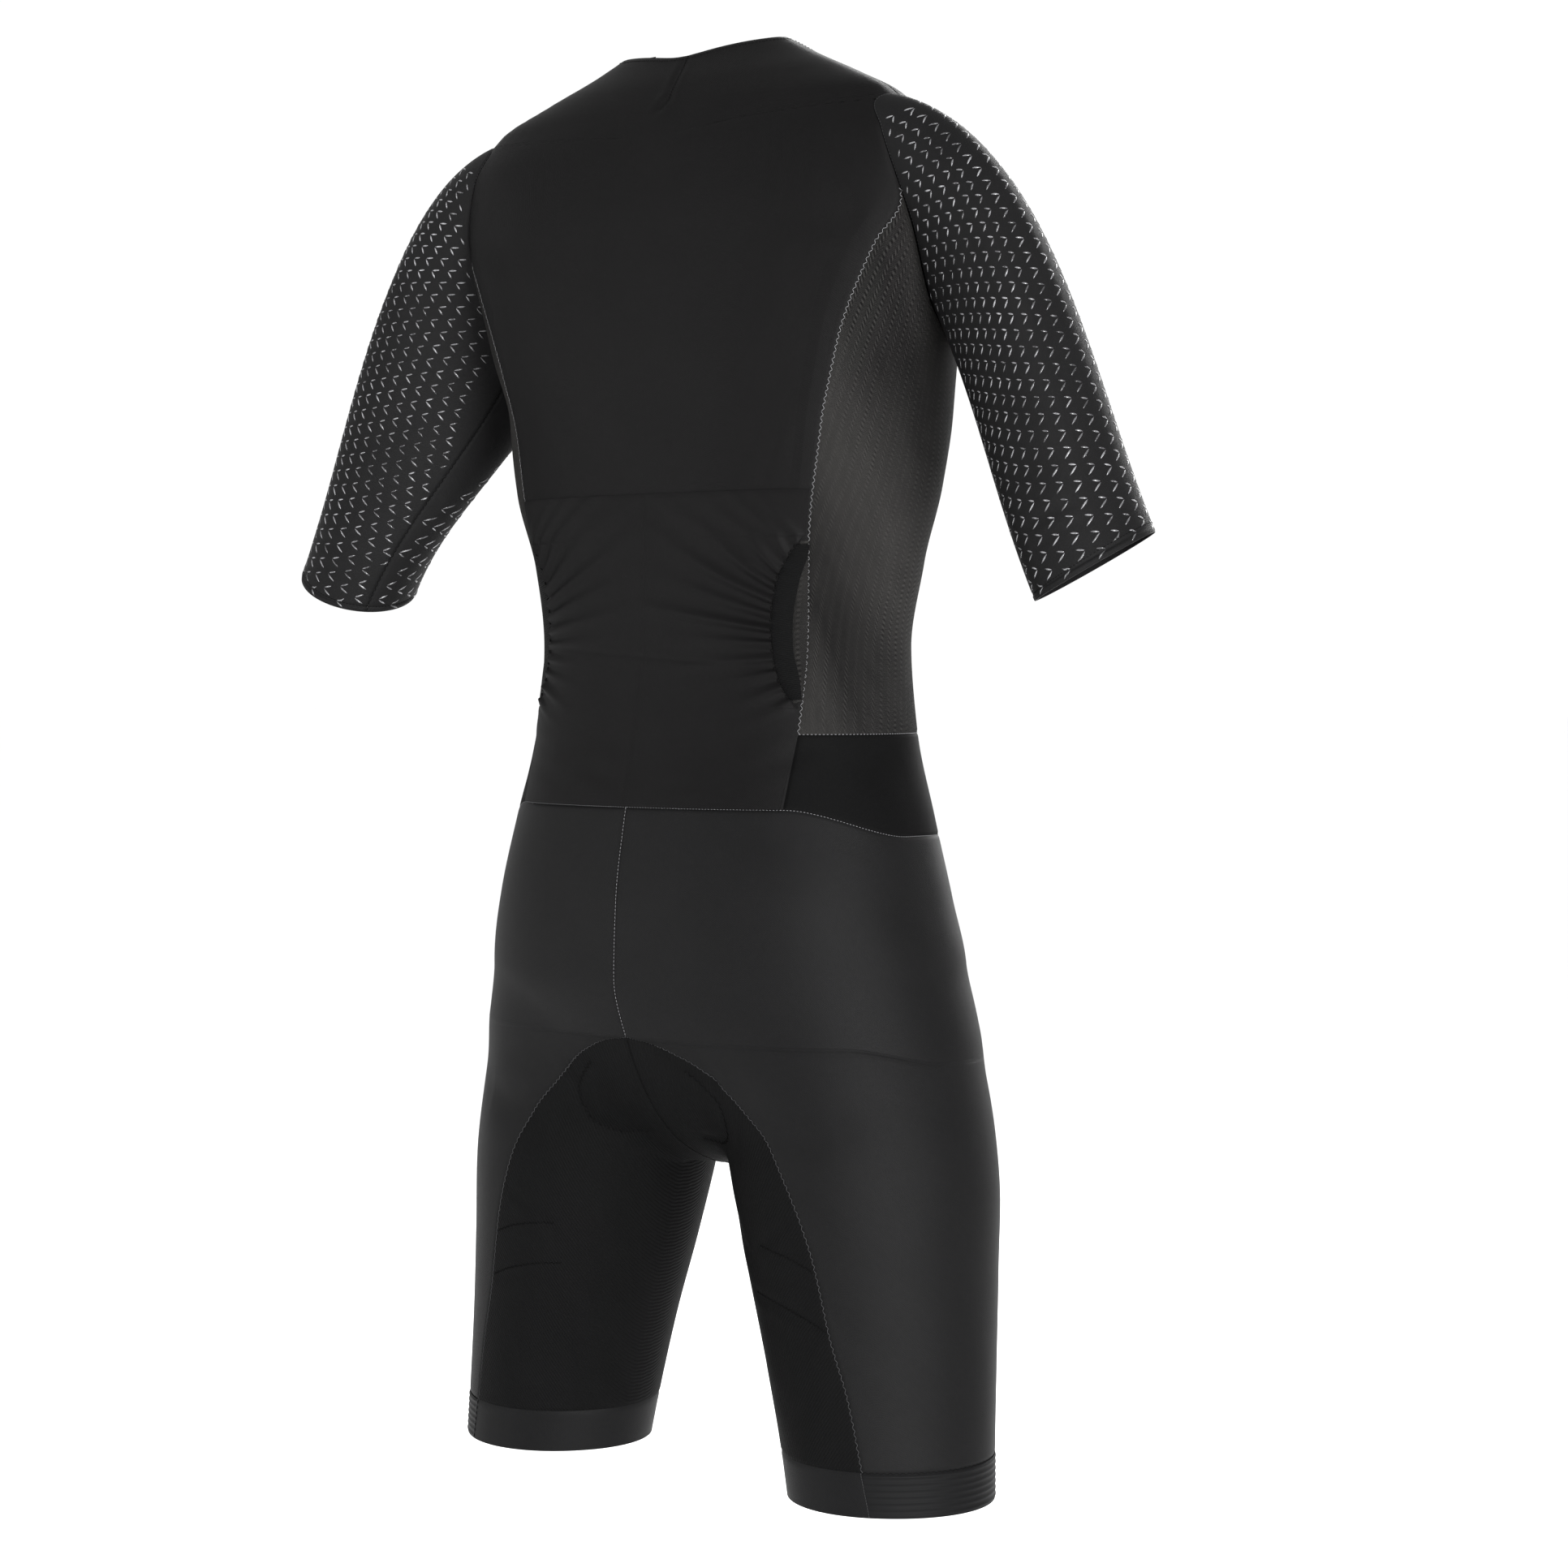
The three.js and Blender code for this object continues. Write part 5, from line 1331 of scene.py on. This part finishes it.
def panel_line(face, stops, count=60):
    """A line on a cloth face through places given as shares down and across its grid."""
    stops = np.array(stops) * (np.array(face.points.shape[:2]) - 1)
    wanted = np.linspace(0, len(stops) - 1, count)
    down, across = (np.interp(wanted, np.arange(len(stops)), part) for part in stops.T)
    return face_at(face, down, across)


def sew(name, runs, material, radius, arch=THREAD_ARCH):
    dress(threads(name, runs, material, radius, arch), None, "body_cloth")


def both(stitch, faces, sides, *sizes, inset=0, **options):
    """The same stitch along the named edges of the left and the right piece."""
    lines = [edge_line(faces[s], side, inset) for s in LEFT_AND_RIGHT for side in sides]
    return [stitch(line, *sizes, **options) for line in lines]


PAD_EDGE = [
    (0.09, 0.1), (0.125, 0.11), (0.153, 0.135), (0.17, 0.185), (0.171, 0.25), (0.155, 0.3),
    (0.13, 0.345), (0.1, 0.375), (0.07, 0.4),
]
CROSS_SEAMS = {
    "right": [[(0.449, 0.211), (0.53, 0.04)], [(0.541, 0.289), (0.612, 0.145), (0.663, 0.039)]],
    "left": [[(0.46, 0.23), (0.54, 0.04)], [(0.55, 0.27), (0.65, 0.04)]],
}
DART = [(0.006, 0.42), (0.06, 0.425), (0.1, 0.445)]
leg_right = leg_faces["right"]
pad = [zigzag(panel_line(inner_faces[s], PAD_EDGE), 2.4, 2.2) for s in LEFT_AND_RIGHT]
cross = [
    zigzag(panel_line(inner_faces[s], line), 1.8, 1.2) for s in LEFT_AND_RIGHT for line in CROSS_SEAMS[s]
]
centre = [
    running(line_above(edge_line(leg_right, "l"), SEAT_ARCH_Z), sideways=0.5),
    running(line_above(edge_line(leg_right, "r"), FRONT_RISE_Z), sideways=-0.5),
]
neck = [running(edge_line(back_face, "t", 5), 2.4, 1.6)] + both(running, front_faces, "t", 2.4, 1.6, inset=5)
# A stitch has a pitch, a length or a zigzag's width, then a shift sideways and a lift; a thread has a radius.
sew("side_seam_stitches", both(zigzag, side_faces, "lr", start=0.02), LIGHT_THREAD, 0.17)
sew("side_panel_end_stitches", both(running, side_faces, "b", 2.6, 1.4), LIGHT_THREAD, 0.2)
sew("waist_stitches", both(running, leg_faces, "t", 2.2, 1.2), LIGHT_THREAD, 0.15)
sew("centre_seam_stitches", centre, LIGHT_THREAD, 0.15)
sew("inner_panel_stitches", both(zigzag, inner_faces, "lr", 2.2, 1.2), GREY_THREAD, 0.17)
sew("rise_stitches", [zigzag(edge_line(inner_faces["left"], "t"), 2.0, 1.3)], DARK_THREAD, 0.17)
sew("pad_stitches", pad, DARK_THREAD, 0.2)
sew("inner_cross_stitches", cross, DARK_THREAD, 0.2)
sew("pocket_mouth_stitches", both(running, band_faces, "l", 3.9, 2.5, 0.4, 0.45), DARK_THREAD, 0.6, 0.35)
sew("armhole_stitches", both(running, sleeve_faces, "t", 2.2, 1.3, 0.5), GREY_THREAD, 0.14)
sew("underarm_stitches", both(zigzag, sleeve_faces, "l", 2.0, 1.2), DARK_THREAD, 0.2)
sew("cuff_stitches", both(running, sleeve_faces, "b", 2.4, 1.5, inset=9), DARK_THREAD, 0.16)
sew("hem_stitches", both(zigzag, hem_faces, "t", 2.0, 1.3), DARK_THREAD, 0.2)
sew("hem_end_stitches", both(running, hem_faces, "lr", 1.8, 1.2, 0.8), GREY_THREAD, 0.16)
sew("zip_tape_stitches", both(running, front_faces, "r", 2.4, 1.6, inset=4), DARK_THREAD, 0.18)
sew("neck_stitches", neck, DARK_THREAD, 0.16)
sew("dart_stitches", [running(panel_line(back_face, DART), 2.0, 1.5)], DARK_THREAD, 0.2)

# Raised grip marks on the sleeves: each is two bars that run out from one corner
MARK_ALONG = 11.0
MARK_ACROSS = 12.4
MARK_ROWS = 30
MARK_ARMS = [(6.6, -29 * DEGREE), (7.8, 28 * DEGREE)]
MARK_GAP = 0.9
MARK_WIDTH = 1.25
MARK_RISE = 0.42
MARK_SINK = 0.08
MARK_MARGIN = 5.0
MARK_CLEAR_OF_ARMHOLE = 3
HALF_ROUND = 165
# A bar's cross-section, as shares of its width and rise, and its size from end to end
BAR_PROFILE = [(-0.5, 0.0), (-0.36, 0.72), (0.0, 1.0), (0.36, 0.72), (0.5, 0.0)]
BAR_SIZES = [0.35, 1.0, 1.0, 0.35]


class SleeveMap:
    """Finds the place of a sleeve at a distance round from its outer line and up from its cuff."""

    def __init__(self, face):
        u, v = face.lengths()
        top = int(np.argmin(np.abs(sleeve_turns() - ARMHOLE_TOP)))
        self.u = u - u[:, [top]]
        self.v = v[-1:] - v
        self.rows = np.arange(u.shape[0])
        self.columns = np.arange(u.shape[1])

    def place(self, u, v):
        """Row and column, as fractions, or nothing where the sleeve has no cloth."""
        column_at = np.array([np.interp(u, row, self.columns, left=np.nan, right=np.nan) for row in self.u])
        left = np.floor(np.nan_to_num(column_at)).astype(int).clip(0, len(self.columns) - 2)
        height = mix(self.v[self.rows, left], self.v[self.rows, left + 1], column_at - left)
        known = ~np.isnan(height)
        if known.sum() < 2 or not height[known].min() <= v <= height[known].max():
            return None
        row = np.interp(-v, -height[known], self.rows[known])
        return row, np.interp(row, self.rows[known], column_at[known])


def mark_bar(path, normals):
    """One raised bar with a round top and tapered ends along a short path."""
    side = beside(path, normals)
    return [
        path[i] + side[i] * across * MARK_WIDTH * size + normals[i] * (up * MARK_RISE * size - MARK_SINK)
        for i, size in enumerate(BAR_SIZES) for across, up in BAR_PROFILE
    ]


def grip_marks(side):
    face = sleeve_faces[side]
    chart = SleeveMap(face)
    bars = []
    half_columns = int(HALF_ROUND / MARK_ACROSS)
    for c in range(-half_columns, half_columns + 1):
        u = (c + 0.25) * MARK_ACROSS
        for r in range(MARK_ROWS):
            v = MARK_MARGIN + (r + (0.5 if c % 2 else 0.0)) * MARK_ALONG
            for length, angle in MARK_ARMS:
                step_u, step_v = math.cos(angle), math.sin(angle)
                ends = [chart.place(u - d * step_u, v - d * step_v) for d in (MARK_GAP, length)]
                if None in ends:
                    continue
                down, across = np.linspace(ends[0], ends[1], len(BAR_SIZES)).T
                path, normals = face_at(face, down, across)
                if from_armhole(path).min() >= MARK_CLEAR_OF_ARMHOLE:
                    bars.append(mark_bar(path, normals))
    name = f"sleeve_grip_marks_{side}"
    dress(tubes_mesh(name, np.array(bars), len(BAR_PROFILE), GRIP_WITH_PAINTED_GLINTS), None, "body_cloth")


for side in LEFT_AND_RIGHT:
    grip_marks(side)

# Camera, light and floor, in metres
CAMERA_PLACE = Vector((-1.385, 1.710, -0.423))
CAMERA_AIM = Vector((0.629, -0.777, 0.0))
IMAGE_SIZE = 1932
FOCAL_PIXELS = 4000
OPTICAL_CENTRE = (897, 830)
SENSOR = 36
FLOOR_Z = -1.30
FLOOR_REACH = 60.0
WORLD_STRENGTH = 1.03
AREA_LIGHTS = [
    ("key", (-2.5, 1.5, -0.35), (0, 0, -0.5), (1.0, 2.0), 215),
    ("fill", (1.6, 2.5, -0.4), (0, 0, -0.5), (1.0, 2.0), 60),
    ("front", (0.6, -3.0, 0.8), (0, 0, -0.45), (2.0, 2.4), 90),
]


def aim(holder, place, direction):
    holder.location = place
    holder.rotation_euler = direction.to_track_quat("-Z", "Y").to_euler()


def make_camera():
    camera = bpy.data.cameras.new("camera")
    camera.sensor_width = SENSOR
    camera.lens = FOCAL_PIXELS / IMAGE_SIZE * SENSOR
    camera.shift_x = (IMAGE_SIZE / 2 - OPTICAL_CENTRE[0]) / IMAGE_SIZE
    camera.shift_y = (OPTICAL_CENTRE[1] - IMAGE_SIZE / 2) / IMAGE_SIZE
    holder = in_scene("camera", camera)
    aim(holder, CAMERA_PLACE, CAMERA_AIM)
    bpy.context.scene.camera = holder


def area_light(name, place, target, size, power):
    light = bpy.data.lights.new(name, "AREA")
    light.shape = "RECTANGLE"
    light.size, light.size_y = size
    light.energy = power
    aim(in_scene(name, light), place, Vector(target) - Vector(place))


def make_world():
    world = bpy.data.worlds.new("studio")
    world.use_nodes = True
    background = world.node_tree.nodes["Background"]
    background.inputs["Color"].default_value = (1, 1, 1, 1)
    background.inputs["Strength"].default_value = WORLD_STRENGTH
    bpy.context.scene.world = world


def make_floor():
    turns = [(-1, -1), (1, -1), (1, 1), (-1, 1)]
    mesh = bpy.data.meshes.new("floor")
    mesh.from_pydata([(x * FLOOR_REACH, y * FLOOR_REACH, FLOOR_Z) for x, y in turns], [], [(0, 1, 2, 3)])
    mesh.materials.append(Finish("floor", (0.98, 0.98, 0.98), 1.0).material)
    in_scene("floor", mesh)


make_camera()
make_world()
make_floor()
for lamp in AREA_LIGHTS:
    area_light(*lamp)
bpy.context.scene.view_settings.view_transform = "Standard"
